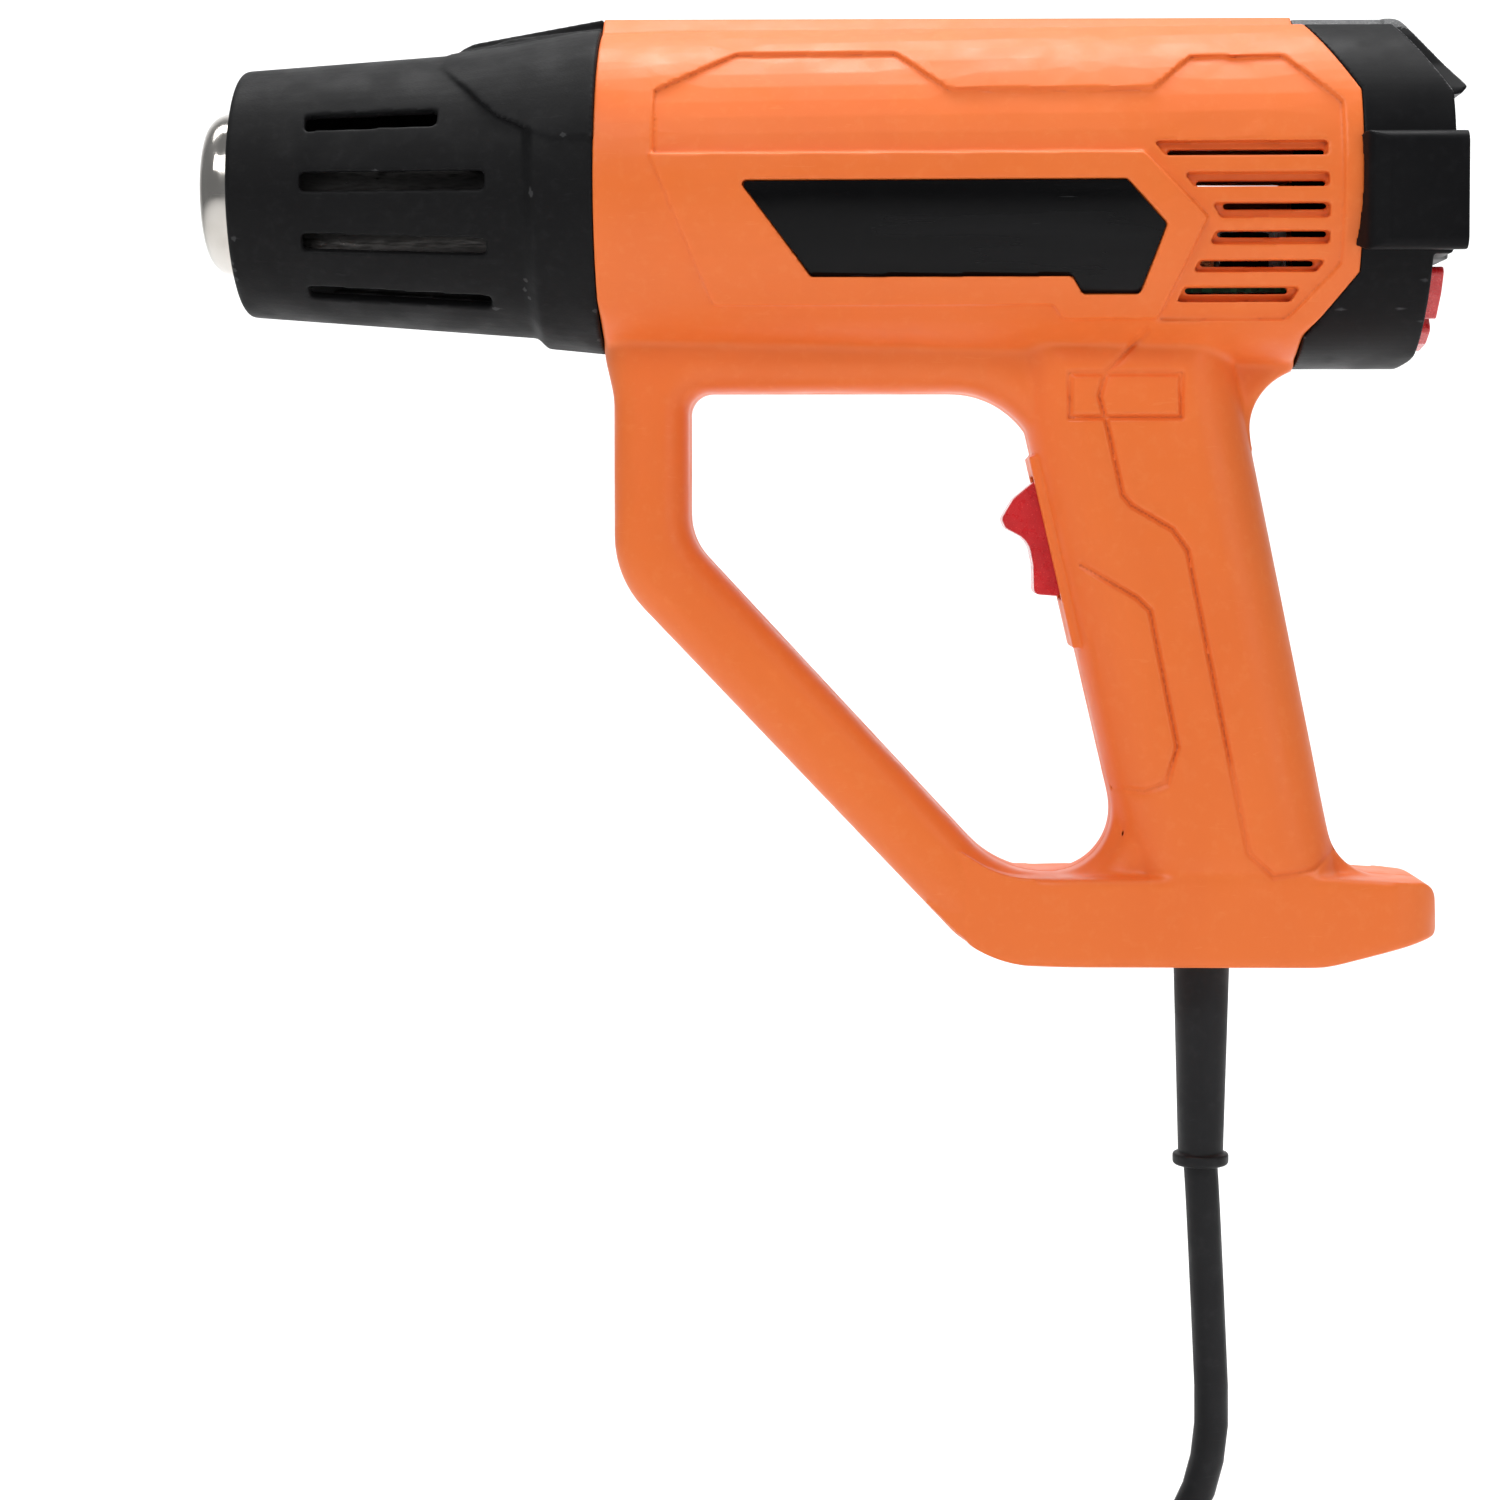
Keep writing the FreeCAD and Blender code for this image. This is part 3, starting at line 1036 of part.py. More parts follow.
def build_switch():
    rocker = [(1.0, 11.0, 0.5), (-4.0, 12.0, 1.0), (-8.8, 9.6, 2.5), (-12.3, 6.0, 1.6), (-11.8, 3.9, 1.2),
              (-7.8, 0.4, 5.0), (-8.0, -5.0, 4.0), (-9.2, -10.8, 1.2), (-4.8, -12.2, 0.8), (1.0, -11.0, 0.5),
              (2.8, 0.0, 6)]
    half = dim("rocker_width") / 2
    pivot = ("dims.rocker_x", 0, "dims.rocker_z")
    body = prism("rocker_body", [rocker], LEAN.multiply(SIDE_VIEW), half, half, pivot)
    hole = cylinder("rocker_bore", "dims.pivot_r + 0.05", 40, ("dims.rocker_x", -20, "dims.rocker_z"), ALONG_Y)
    node("rocker_switch", cut("rocker_bored", body, hole))
    pin = cylinder("rocker_pin", "dims.pivot_r", 16.0, ("dims.rocker_x", -8, "dims.rocker_z"), ALONG_Y)
    node("rocker_pivot", pin)
    side = dim("switch_half_width")
    high = dim("switch_half_len")
    ear = dim("ear_half")
    inside = dim("rocker_width") / 2 + dim("rocker_gap")
    block = leaned_box("switch_block", 0.9, dim("switch_depth"), -side, side, -high, high)
    sweep = cylinder("switch_sweep", "dims.rocker_sweep_r + 0.3", 2 * inside,
                     ("dims.rocker_x", -inside, "dims.rocker_z"), ALONG_Y)
    trough = common("switch_trough", sweep, leaned_box("trough_limit", -16.0, 7.0, -20, 20, -20, 20))
    pin_hole = cylinder("switch_pin_hole", "dims.pivot_r + 0.02", 30, ("dims.rocker_x", -15, "dims.rocker_z"), ALONG_Y)
    ears = [leaned_box("switch_ear_%d" % i, -2.1, 1.2, low, low + side - inside, -ear, ear)
            for i, low in enumerate((-side, inside))]
    stock = fuse("switch_stock", block, *ears)
    node("switch_body", cut("switch_cut", stock, fuse("switch_voids", trough, pin_hole)))
    deep = dim("switch_depth")
    tabs = [leaned_box("switch_tab_%d" % i, deep, deep + 6.0, -2.4, 2.4, z - 0.4, z + 0.4)
            for i, z in enumerate(TAB_HEIGHTS)]
    node("switch_terminals", group("switch_tab_set", tabs))


TAB_HEIGHTS = (-8.0, 0.0, 8.0)


def build_electrics():
    z = "dims.barrel_axis_z - 22"
    board = box("control_board_blank", 44, 38, 1.6, (-12, -19, z))
    node("control_board", board)
    node("board_transformer", box("transformer_block", 14, 16, 12, (-8, -17, "dims.barrel_axis_z - 20.4")))
    node("board_capacitor", cylinder("capacitor_can", 5.0, 11, (13, -10, "dims.barrel_axis_z - 20.4")))
    sink = box("sink_base", 16, 2, 14, (8, 12, "dims.barrel_axis_z - 20.4"))
    fins = [box("sink_fin_%d" % i, 1.2, 5, 14, (8 + 3.7 * i, 7.5, "dims.barrel_axis_z - 20.4")) for i in range(5)]
    node("heat_sink", fuse("heat_sink_parts", sink, *fins))
    node("triac", box("triac_body", 10, 3, 12, (11, 14.05, "dims.barrel_axis_z - 19")))
    x = dim("cord_x")
    low = dim("relief_top_z")
    sheath = wire_piece("inner_cord", [[(x, 0.0, low), (x, 0.0, low + 19.0), (x - 3.0, 0.0, low + 36.0)]], dim("cord_d") - 0.2)
    node("cord_inside", sheath)
    clamp = box("clamp_block", 10, 24, 7, (x - 5, -12, low + 8))
    groove = cylinder("clamp_groove", dim("cord_d") / 2, 20, (x, 0, low + 4))
    holes = [cylinder("clamp_bore_%d" % i, 1.5, 20, (x - 9, side * 8.5, low + 11.5), ALONG_X) for i, side in enumerate((-1, 1))]
    node("cord_clamp", cut("clamp_cut", clamp, fuse("clamp_voids", groove, *holes)))
    screws = []
    for i, side in enumerate((-1, 1)):
        screws.append(fuse("clamp_screw_%d" % i,
                           cylinder("clamp_head_%d" % i, 2.8, 1.8, (x - 6.8, side * 8.5, low + 11.5), ALONG_X),
                           cylinder("clamp_shank_%d" % i, 1.45, 12, (x - 5.0, side * 8.5, low + 11.5), ALONG_X)))
    node("clamp_screws", group("clamp_screw_set", screws))
    end = (x - 3.0, low + 36.0)
    reach = dim("switch_depth") + 6.0
    tab_low = leaned(reach, 0, TAB_HEIGHTS[0])
    tab_high = leaned(reach, 0, TAB_HEIGHTS[2])
    board_z = dim("barrel_axis_z") - 22.8
    leads = [
        [(end[0], -1.8, end[1]), (end[0] + 2.0, -3.4, end[1] + 18.0), (tab_low.x + 6.0, -1.0, tab_low.z - 4.0),
         (tab_low.x, 0.0, tab_low.z)],
        [(end[0], 1.8, end[1]), (10.0, 7.0, -6.0), (9.0, 9.0, 30.0), (6.0, 8.0, 50.0), (6.0, 6.0, board_z)],
        [(tab_high.x, 0.0, tab_high.z), (tab_high.x + 4.0, -2.0, tab_high.z + 4.0), (6.0, -5.0, 48.0),
         (5.0, -6.0, board_z)],
    ]
    node("power_leads", wire_piece("power_lead_wires", leads, 2.0))
    flat = box("ribbon_flat", 15.7, 12, 0.5, (30.0, -6, "dims.barrel_axis_z - 12.5"))
    drop = box("ribbon_drop", 0.5, 12, 8.0, (30.0, -6, "dims.barrel_axis_z - 20.4"))
    node("display_ribbon", fuse("ribbon_strip", flat, drop))


# ---------------------------------------------------------------- cord


def build_cord():
    x = dim("cord_x")
    top = dim("relief_top_z")
    end = dim("relief_end_z")
    length = top - end
    profile = [
        (0.0, 0.0, 0), (0.0, 5.2, 0), (4.0, dim("relief_top_r"), 0.8), (length - 2.6, dim("relief_low_r"), 0.3),
        (length - 2.5, dim("relief_flange_r"), 0.5), (length, dim("relief_flange_r"), 0.8), (length, 0.0, 0),
    ]
    relief = turned("strain_relief_body", [(u, v, r) for u, v, r in profile], (x, 0, top))
    relief.Placement = Placement(Vector(x, 0, top), Rotation(Vector(0, 1, 0), 90))
    relief.setExpression("Placement.Base.x", "dims.cord_x")
    relief.setExpression("Placement.Base.z", "dims.relief_top_z")
    node("strain_relief", relief)
    build_coil()
    build_plug()


COIL_X = -74.5
PLUG_X = -139.5
PLUG_HALF_HEIGHT = 10.0
PLUG_Y = 5.0


def coil_levels():
    """Centre heights of the top and bottom strands of the put-away coil."""
    d = dim("cord_d")
    bottom = dim("floor_z") + dim("tie_thick") + d / 2.0
    return bottom + dim("coil_turns") * d, bottom


def build_coil():
    d = dim("cord_d")
    ring = dim("coil_ring_r")
    high, low = coil_levels()
    section = [(ring - d / 2, low - d / 2, 3.0), (ring + d / 2, low - d / 2, 3.0),
               (ring + d / 2, high + d / 2, 3.0), (ring - d / 2, high + d / 2, 3.0)]
    coil = turned("cord_coil_body", section, (COIL_X, -ring, 0), "V_Axis")
    node("cord_coil", coil)
    lead = [(dim("cord_x"), 0.0, dim("relief_end_z")), (dim("cord_x") + 0.5, 0.0, dim("relief_end_z") - 5.0),
            (10.5, 0.0, high), (COIL_X, 0.0, high)]
    node("cord_lead", cut("cord_lead_end", wire_piece("cord_lead_tube", [lead], d), coil))
    plug_z = dim("floor_z") + PLUG_HALF_HEIGHT
    tail = [(COIL_X, 0.0, low), (COIL_X - 20.0, 0.8, low + 0.2), (COIL_X - 46.0, PLUG_Y, plug_z - 0.6),
            (PLUG_X, PLUG_Y, plug_z)]
    node("cord_tail", cut("cord_tail_end", wire_piece("cord_tail_tube", [tail], d), coil))
    wall = dim("tie_thick")
    wide = dim("tie_width")
    band = box("tie_band", wide, d + 2 * wall, high - low + d + 2 * wall,
               (COIL_X - wide / 2, -2 * ring - d / 2 - wall, low - d / 2 - wall))
    eye = box("tie_eye", wide + 2, d, high - low + d, (COIL_X - wide / 2 - 1, -2 * ring - d / 2, low - d / 2))
    curved = cylinder("tie_curve", ring + d / 2, high - low + d, (COIL_X, -ring, low - d / 2))
    inner = cylinder("tie_inner", ring - d / 2, high - low + d, (COIL_X, -ring, low - d / 2))
    swept = cut("tie_space", curved, inner)
    node("coil_tie", cut("tie_loop", band, fuse("tie_void", eye, swept)))


def build_plug():
    z = dim("floor_z") + PLUG_HALF_HEIGHT
    face = PLUG_X - dim("plug_len")
    plan = [(PLUG_X, -5.4, 1.5), (PLUG_X - 8.0, -6.4, 10), (face + 15.0, -17.6, 8), (face, -17.6, 4),
            (face, 17.6, 4), (face + 15.0, 17.6, 8), (PLUG_X - 8.0, 6.4, 10), (PLUG_X, 5.4, 1.5)]
    side = [(PLUG_X, -5.4, 1.5), (PLUG_X - 12.0, -7.0, 10), (face + 12.0, -10.0, 8), (face, -10.0, 1.5),
            (face, 10.0, 1.5), (face + 12.0, 10.0, 8), (PLUG_X - 12.0, 7.0, 10), (PLUG_X, 5.4, 1.5)]
    across = prism("plug_plan", [plan], UPRIGHT, 12.0, 12.0, (0, PLUG_Y, z))
    profile = prism("plug_side", [side], SIDE_VIEW, 20.0, 20.0, (0, PLUG_Y, z))
    node("mains_plug", common("plug_body", across, profile))
    pins = []
    for i, side_y in enumerate((-1, 1)):
        y = PLUG_Y + side_y * dim("plug_pin_gap") / 2
        shank = cylinder("plug_pin_shank_%d" % i, "dims.plug_pin_r", dim("plug_pin_len") - 1.0,
                         (face - dim("plug_pin_len") + 1.0, y, z), ALONG_X)
        tip = cone("plug_pin_tip_%d" % i, 1.5, "dims.plug_pin_r", 1.0, (face - dim("plug_pin_len"), y, z), ALONG_X)
        pins.append(fuse("plug_pin_%d" % i, shank, tip))
    node("plug_pins", group("plug_pin_pair", pins))


def check_and_write():
    doc.recompute()
    broken = [o.Name for o in doc.Objects if "Invalid" in o.State or "Error" in o.State]
    if broken:
        raise SystemExit("objects failed: %s" % broken)
    os.makedirs("parts", exist_ok=True)
    for label, obj in NODES.items():
        shape = obj.Shape
        if shape.isNull() or not shape.isValid() or not shape.Solids:
            raise SystemExit("%s is not a valid solid" % label)
        print("%-22s solids %d volume %.0f" % (label, len(shape.Solids), shape.Volume))
    for label, obj in NODES.items():
        obj.Shape.exportStep("parts/%s.step" % label)


build_housing()
build_nameplates()
build_nose()
build_heater()
build_fan()
build_cap()
build_switch()
build_electrics()
build_cord()
check_and_write()
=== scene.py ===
import bmesh
import bpy
import math
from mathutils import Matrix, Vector


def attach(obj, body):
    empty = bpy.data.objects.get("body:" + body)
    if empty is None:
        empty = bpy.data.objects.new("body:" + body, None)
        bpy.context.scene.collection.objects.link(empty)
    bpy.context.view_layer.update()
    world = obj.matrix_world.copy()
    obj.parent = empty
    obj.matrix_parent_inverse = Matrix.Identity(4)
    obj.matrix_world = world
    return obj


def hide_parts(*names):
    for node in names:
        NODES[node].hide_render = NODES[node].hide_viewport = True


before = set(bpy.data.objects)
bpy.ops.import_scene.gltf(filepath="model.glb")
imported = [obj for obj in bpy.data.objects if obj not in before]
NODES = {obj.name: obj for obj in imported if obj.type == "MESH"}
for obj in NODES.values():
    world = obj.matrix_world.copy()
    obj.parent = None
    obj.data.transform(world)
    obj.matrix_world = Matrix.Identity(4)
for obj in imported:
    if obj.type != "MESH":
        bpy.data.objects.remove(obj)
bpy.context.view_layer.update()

# Corded heat gun. Lengths are millimetres in the tables below and are turned into metres by MM.
MM = 0.001
AXIS_Z = 89.6
FLOOR_Z = -246.0


def at(x, y, z):
    return Vector((x * MM, y * MM, z * MM))


def link(obj):
    bpy.context.scene.collection.objects.link(obj)
    return obj


# ---------------------------------------------------------------- camera

def place_camera():
    distance = 645.0
    frame_width = 315.0
    data = bpy.data.cameras.new("camera")
    data.sensor_width = 36.0
    data.lens = 36.0 * distance / frame_width
    data.shift_x = -0.0383
    data.shift_y = -0.0783
    data.clip_start = 0.02
    data.clip_end = 20.0
    camera = link(bpy.data.objects.new("camera", data))
    camera.location = at(-64.3, -distance, 21.0)
    aim = at(-76.9, 0, -2.1) - camera.location
    camera.rotation_mode = "QUATERNION"
    camera.rotation_quaternion = aim.to_track_quat("-Z", "Y")
    bpy.context.scene.camera = camera


# ---------------------------------------------------------------- cord

CORD_D = 7.2
COIL_X = -74.5
COIL_Y = -40.0
COIL_R = 40.0
COIL_TURNS = 5
COIL_LOW = FLOOR_Z + 1.3 + CORD_D / 2
COIL_HIGH = COIL_LOW + COIL_TURNS * CORD_D
PLUG_Z = -236.0
POINTS_A_TURN = 18


def cord_route():
    points = [(6.0, 0, -114.2), (6.5, 0, -119.2), (10.5, 0, COIL_HIGH), (COIL_X, 0, COIL_HIGH)]
    count = COIL_TURNS * POINTS_A_TURN
    step = 2 * math.pi / POINTS_A_TURN
    reach = COIL_R / (0.75 + 0.25 * math.cos(step))
    for i in range(count):
        turn = math.pi / 2 + (i + 0.5) * step
        height = COIL_HIGH + (COIL_LOW - COIL_HIGH) * (i + 0.5) / count
        points.append((COIL_X + reach * math.cos(turn), COIL_Y + reach * math.sin(turn), height))
    points += [(COIL_X, 0, COIL_LOW), (COIL_X - 20, 0.8, COIL_LOW + 0.2),
               (-120.5, 5, PLUG_Z - 0.6), (-139.5, 5, PLUG_Z)]
    return points


def make_cord():
    data = bpy.data.curves.new("mains_cord", "CURVE")
    data.dimensions = "3D"
    data.bevel_depth = 1.0
    data.bevel_resolution = 5
    data.resolution_u = 10
    route = cord_route()
    spline = data.splines.new("NURBS")
    spline.points.add(len(route) - 1)
    for point, place in zip(spline.points, route):
        point.co = (*at(*place), 1.0)
        point.radius = CORD_D / 2 * MM
    spline.order_u = 3
    spline.use_endpoint_u = True
    data.use_fill_caps = True
    cord = link(bpy.data.objects.new("mains_cord", data))
    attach(cord, "gun")
    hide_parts("cord_lead", "cord_coil", "cord_tail")
    return cord


place_camera()
CORD = make_cord()


# ---------------------------------------------------------------- materials

class Finish:
    """One procedural material, built up a layer at a time in object coordinates."""

    def __init__(self, name, roughness=0.5, metallic=0.0, coat=0.0, specular=0.5):
        self.material = bpy.data.materials.new(name)
        self.material.use_nodes = True
        self.tree = self.material.node_tree
        self.shader = self.tree.nodes["Principled BSDF"]
        self.shader.inputs["Roughness"].default_value = roughness
        self.shader.inputs["Metallic"].default_value = metallic
        self.shader.inputs["Coat Weight"].default_value = coat
        self.shader.inputs["Specular IOR Level"].default_value = specular
        self.coords = self.tree.nodes.new("ShaderNodeTexCoord").outputs["Object"]
        self.colour = None
        self.normal = None

    def add(self, kind, **settings):
        node = self.tree.nodes.new(kind)
        for key, value in settings.items():
            setattr(node, key, value)
        return node

    def stretched(self, stretch):
        mapping = self.add("ShaderNodeMapping")
        mapping.inputs["Scale"].default_value = stretch
        self.tree.links.new(self.coords, mapping.inputs["Vector"])
        return mapping.outputs["Vector"]

    def noise(self, size_mm, detail=3.0, stretch=(1, 1, 1), distortion=0.0):
        node = self.add("ShaderNodeTexNoise")
        node.inputs["Scale"].default_value = 1.0 / (size_mm * MM)
        node.inputs["Detail"].default_value = detail
        node.inputs["Distortion"].default_value = distortion
        self.tree.links.new(self.stretched(stretch), node.inputs["Vector"])
        return node.outputs["Fac"]

    def cells(self, size_mm, feature="F1"):
        node = self.add("ShaderNodeTexVoronoi", feature=feature)
        node.inputs["Scale"].default_value = 1.0 / (size_mm * MM)
        self.tree.links.new(self.coords, node.inputs["Vector"])
        return node.outputs["Distance"]

    def span(self, value, low, high, to_low=0.0, to_high=1.0):
        node = self.add("ShaderNodeMapRange", interpolation_type="SMOOTHSTEP")
        self.tree.links.new(value, node.inputs["Value"])
        for socket, number in zip(("From Min", "From Max", "To Min", "To Max"), (low, high, to_low, to_high)):
            node.inputs[socket].default_value = number
        return node.outputs["Result"]

    def base(self, colour):
        node = self.add("ShaderNodeRGB")
        node.outputs[0].default_value = (*colour, 1.0)
        self.colour = node.outputs[0]
        return self

    def tint(self, mask, colour, amount=1.0):
        """Lay another colour over the base where mask is 1."""
        scaled = self.add("ShaderNodeMath", operation="MULTIPLY")
        self.tree.links.new(mask, scaled.inputs[0])
        scaled.inputs[1].default_value = amount
        mix = self.add("ShaderNodeMix", data_type="RGBA")
        self.tree.links.new(scaled.outputs[0], mix.inputs[0])
        self.tree.links.new(self.colour, mix.inputs[6])
        mix.inputs[7].default_value = (*colour, 1.0)
        self.colour = mix.outputs[2]
        return self

    def shine(self, mask, low, high):
        """Roughness runs from low to high with the mask."""
        self.tree.links.new(self.span(mask, 0.3, 0.7, low, high), self.shader.inputs["Roughness"])
        return self

    def relief(self, height, depth_mm, strength=1.0):
        bump = self.add("ShaderNodeBump")
        bump.inputs["Distance"].default_value = depth_mm * MM
        bump.inputs["Strength"].default_value = strength
        self.tree.links.new(height, bump.inputs["Height"])
        if self.normal is not None:
            self.tree.links.new(self.normal, bump.inputs["Normal"])
        self.normal = bump.outputs["Normal"]
        return self

    # Pointiness mask for painted light: high on convex edges for painted highlights, or, reversed, high in
    # concave creases for painted shade.
    def edges(self, low=0.52, high=0.62):
        geometry = self.add("ShaderNodeNewGeometry")
        return self.span(geometry.outputs["Pointiness"], low, high)

    def done(self):
        self.tree.links.new(self.colour, self.shader.inputs["Base Color"])
        if self.normal is not None:
            self.tree.links.new(self.normal, self.shader.inputs["Normal"])
        return self.material


def moulded(name, colour, shade, light, rough, grain_mm, grain_depth, specular=0.5):
    """Moulded plastic: slight flow marks, a fine surface grain, faint scuffs of wear."""
    f = Finish(name, specular=specular).base(colour)
    flow = f.noise(38, 3.0, (1, 1, 0.5), 0.6)
    f.tint(f.span(flow, 0.35, 0.7), shade, 0.35)
    f.tint(f.span(f.noise(2.2, 4.0), 0.5, 0.75), light, 0.12)
    scuffs = f.noise(6, 6.0, (1, 1, 6), 1.2)
    f.tint(f.span(scuffs, 0.66, 0.74), light, 0.16)
    f.shine(f.noise(9, 5.0), rough - 0.06, rough + 0.08)
    f.relief(f.noise(grain_mm, 2.0), grain_depth)
    f.relief(f.noise(24, 2.0), 0.05, 0.6)
    return f


def metal(name, colour, shade, rough, streak=(1, 1, 1), streak_depth=0.004):
    f = Finish(name, metallic=1.0).base(colour)
    f.tint(f.span(f.noise(14, 4.0), 0.35, 0.7), shade, 0.5)
    f.shine(f.noise(3, 6.0, streak), rough * 0.6, rough * 1.5)
    f.relief(f.noise(0.5, 3.0, streak), streak_depth)
    return f


def painted_board(name, colour, trace):
    """A circuit board: solder mask with tracks and pads showing through."""
    f = Finish(name, roughness=0.35, coat=0.3).base(colour)
    tracks = f.noise(1.6, 0.0, (1, 1, 0.25))
    f.tint(f.span(tracks, 0.56, 0.58), trace, 0.8)
    pads = f.cells(2.8)
    f.tint(f.span(pads, 0.16, 0.12), (0.75, 0.72, 0.62), 0.9)
    f.shine(f.noise(5), 0.25, 0.5)
    f.relief(tracks, 0.05)
    return f


def make_materials():
    m = {}
    orange = moulded("orange_shell", (0.84, 0.178, 0.034), (0.77, 0.140, 0.026), (0.93, 0.30, 0.09),
                     0.42, 0.45, 0.005, 0.3)
    # Darker orange in the concave creases and engraved grooves: painted shade.
    orange.tint(orange.edges(0.488, 0.43), (0.42, 0.065, 0.012), 0.6)
    m["orange"] = orange.done()
    black = moulded("black_shell", (0.0075, 0.0075, 0.008), (0.005, 0.005, 0.0055), (0.03, 0.03, 0.031),
                    0.55, 0.55, 0.035, 0.10)
    # Lighter grey on the convex edges and rims: painted edge highlight.
    black.tint(black.edges(0.53, 0.60), (0.075, 0.075, 0.077), 0.45)
    m["black"] = black.done()
    satin = moulded("cap_satin", (0.0065, 0.0065, 0.0072), (0.0045, 0.0045, 0.005), (0.025, 0.025, 0.027),
                    0.42, 0.4, 0.012, 0.08)
    # Lighter grey on the convex edges: painted edge highlight.
    satin.tint(satin.edges(0.56, 0.66), (0.085, 0.085, 0.09), 0.5)
    m["satin"] = satin.done()
    grain = Finish("grained_grey").base((0.042, 0.043, 0.045))
    leather = grain.noise(0.85, 4.0, (1, 1, 1), 1.4)
    grain.tint(grain.span(leather, 0.52, 0.68), (0.16, 0.162, 0.165), 0.55)
    grain.tint(grain.span(leather, 0.45, 0.3), (0.015, 0.015, 0.016), 0.7)
    grain.tint(grain.span(grain.noise(0.35, 1.0), 0.68, 0.74), (0.45, 0.45, 0.46), 0.6)
    grain.shine(grain.noise(3), 0.38, 0.55)
    grain.relief(leather, 0.16)
    m["grain"] = grain.done()
    gloss = Finish("gloss_black", specular=0.13).base((0.0022, 0.0022, 0.0025))
    # Lighter soft streaks running along x: painted reflection.
    gloss.tint(gloss.span(gloss.noise(16, 4.0, (0.12, 1, 1.6)), 0.4, 0.7), (0.009, 0.009, 0.0098), 0.7)
    gloss.tint(gloss.span(gloss.noise(2.5, 8.0, (0.15, 1, 2)), 0.70, 0.76), (0.10, 0.10, 0.105), 0.35)
    gloss.shine(gloss.noise(6, 6.0), 0.09, 0.2)
    gloss.relief(gloss.noise(30), 0.06)
    m["gloss"] = gloss.done()
    red = Finish("red_gloss", coat=0.35).base((0.60, 0.010, 0.014))
    red.tint(red.span(red.noise(9), 0.35, 0.7), (0.42, 0.004, 0.008), 0.5)
    red.tint(red.span(red.noise(0.3, 1.0), 0.64, 0.72), (1.0, 0.16, 0.13), 0.6)
    red.shine(red.noise(2.0, 5.0), 0.22, 0.42)
    red.relief(red.noise(0.45, 2.0), 0.03)
    m["red"] = red.done()
    dark_red = Finish("icon_red").base((0.14, 0.002, 0.004))
    dark_red.tint(dark_red.span(dark_red.noise(1.2), 0.4, 0.7), (0.22, 0.004, 0.006), 0.6)
    dark_red.shine(dark_red.noise(1.5), 0.4, 0.6)
    m["icon"] = dark_red.done()
    chrome = metal("polished_steel", (0.58, 0.555, 0.52), (0.42, 0.39, 0.35), 0.15, (1, 0.3, 0.3), 0.0015)
    m["chrome"] = chrome.done()
    tube = metal("tube_steel", (0.085, 0.082, 0.08), (0.045, 0.043, 0.042), 0.45, (1, 6, 6), 0.006)
    m["tube"] = tube.done()
    m["steel"] = metal("brushed_steel", (0.60, 0.59, 0.57), (0.42, 0.40, 0.38), 0.3, (1, 8, 8), 0.01).done()
    m["alu"] = metal("aluminium", (0.76, 0.76, 0.77), (0.62, 0.62, 0.64), 0.34, (6, 1, 1), 0.012).done()
    m["brass"] = metal("nickel_brass", (0.78, 0.70, 0.50), (0.62, 0.52, 0.33), 0.2, (1, 6, 6), 0.006).done()
    wire = metal("heater_wire", (0.33, 0.30, 0.29), (0.16, 0.13, 0.15), 0.42)
    wire.tint(wire.span(wire.noise(5), 0.5, 0.7), (0.25, 0.12, 0.06), 0.4)
    m["wire"] = wire.done()
    copper = metal("copper_winding", (0.85, 0.36, 0.16), (0.55, 0.16, 0.05), 0.32, (1, 1, 12), 0.06)
    m["copper"] = copper.done()
    nylon = moulded("white_nylon", (0.78, 0.77, 0.71), (0.66, 0.64, 0.56), (0.88, 0.87, 0.82), 0.4, 0.6, 0.01)
    m["nylon"] = nylon.done()
    ceramic = moulded("ceramic", (0.80, 0.77, 0.70), (0.62, 0.54, 0.44), (0.90, 0.88, 0.82), 0.7, 0.35, 0.06)
    ceramic.tint(ceramic.span(ceramic.noise(12, 5.0), 0.55, 0.75), (0.42, 0.30, 0.20), 0.4)
    m["ceramic"] = ceramic.done()
    mica = Finish("mica_sheet").base((0.50, 0.40, 0.26))
    mica.tint(mica.span(mica.cells(3.0), 0.2, 0.6), (0.72, 0.62, 0.45), 0.7)
    mica.shine(mica.noise(3), 0.2, 0.55)
    mica.relief(mica.cells(2.2), 0.05)
    m["mica"] = mica.done()
    m["board"] = painted_board("board_green", (0.012, 0.12, 0.04), (0.03, 0.24, 0.09)).done()
    rubber = moulded("cord_rubber", (0.010, 0.010, 0.011), (0.007, 0.007, 0.0075), (0.04, 0.04, 0.042),
                     0.5, 0.5, 0.02, 0.22)
    m["rubber"] = rubber.done()
    grey = moulded("grey_silicone", (0.19, 0.19, 0.2), (0.14, 0.14, 0.15), (0.3, 0.3, 0.31), 0.55, 0.5, 0.02)
    m["grey"] = grey.done()
    return m


M = make_materials()


# ---------------------------------------------------------------- mesh tools

def coat_with(obj, *materials):
    obj.data.materials.clear()
    for material in materials:
        obj.data.materials.append(material)
    return obj


def smooth(obj, angle_deg=None):
    obj.data.shade_smooth()
    if angle_deg is not None:
        obj.data.set_sharp_from_angle(angle=math.radians(angle_deg))
    return obj


def from_bmesh(name, bm):
    bmesh.ops.recalc_face_normals(bm, faces=bm.faces)
    mesh = bpy.data.meshes.new(name)
    bm.to_mesh(mesh)
    bm.free()
    return link(bpy.data.objects.new(name, mesh))


def baked(obj):
    """Replace the object's mesh with what its modifiers make of it."""
    graph = bpy.context.evaluated_depsgraph_get()
    mesh = bpy.data.meshes.new_from_object(obj.evaluated_get(graph))
    obj.modifiers.clear()
    obj.data = mesh
    return obj


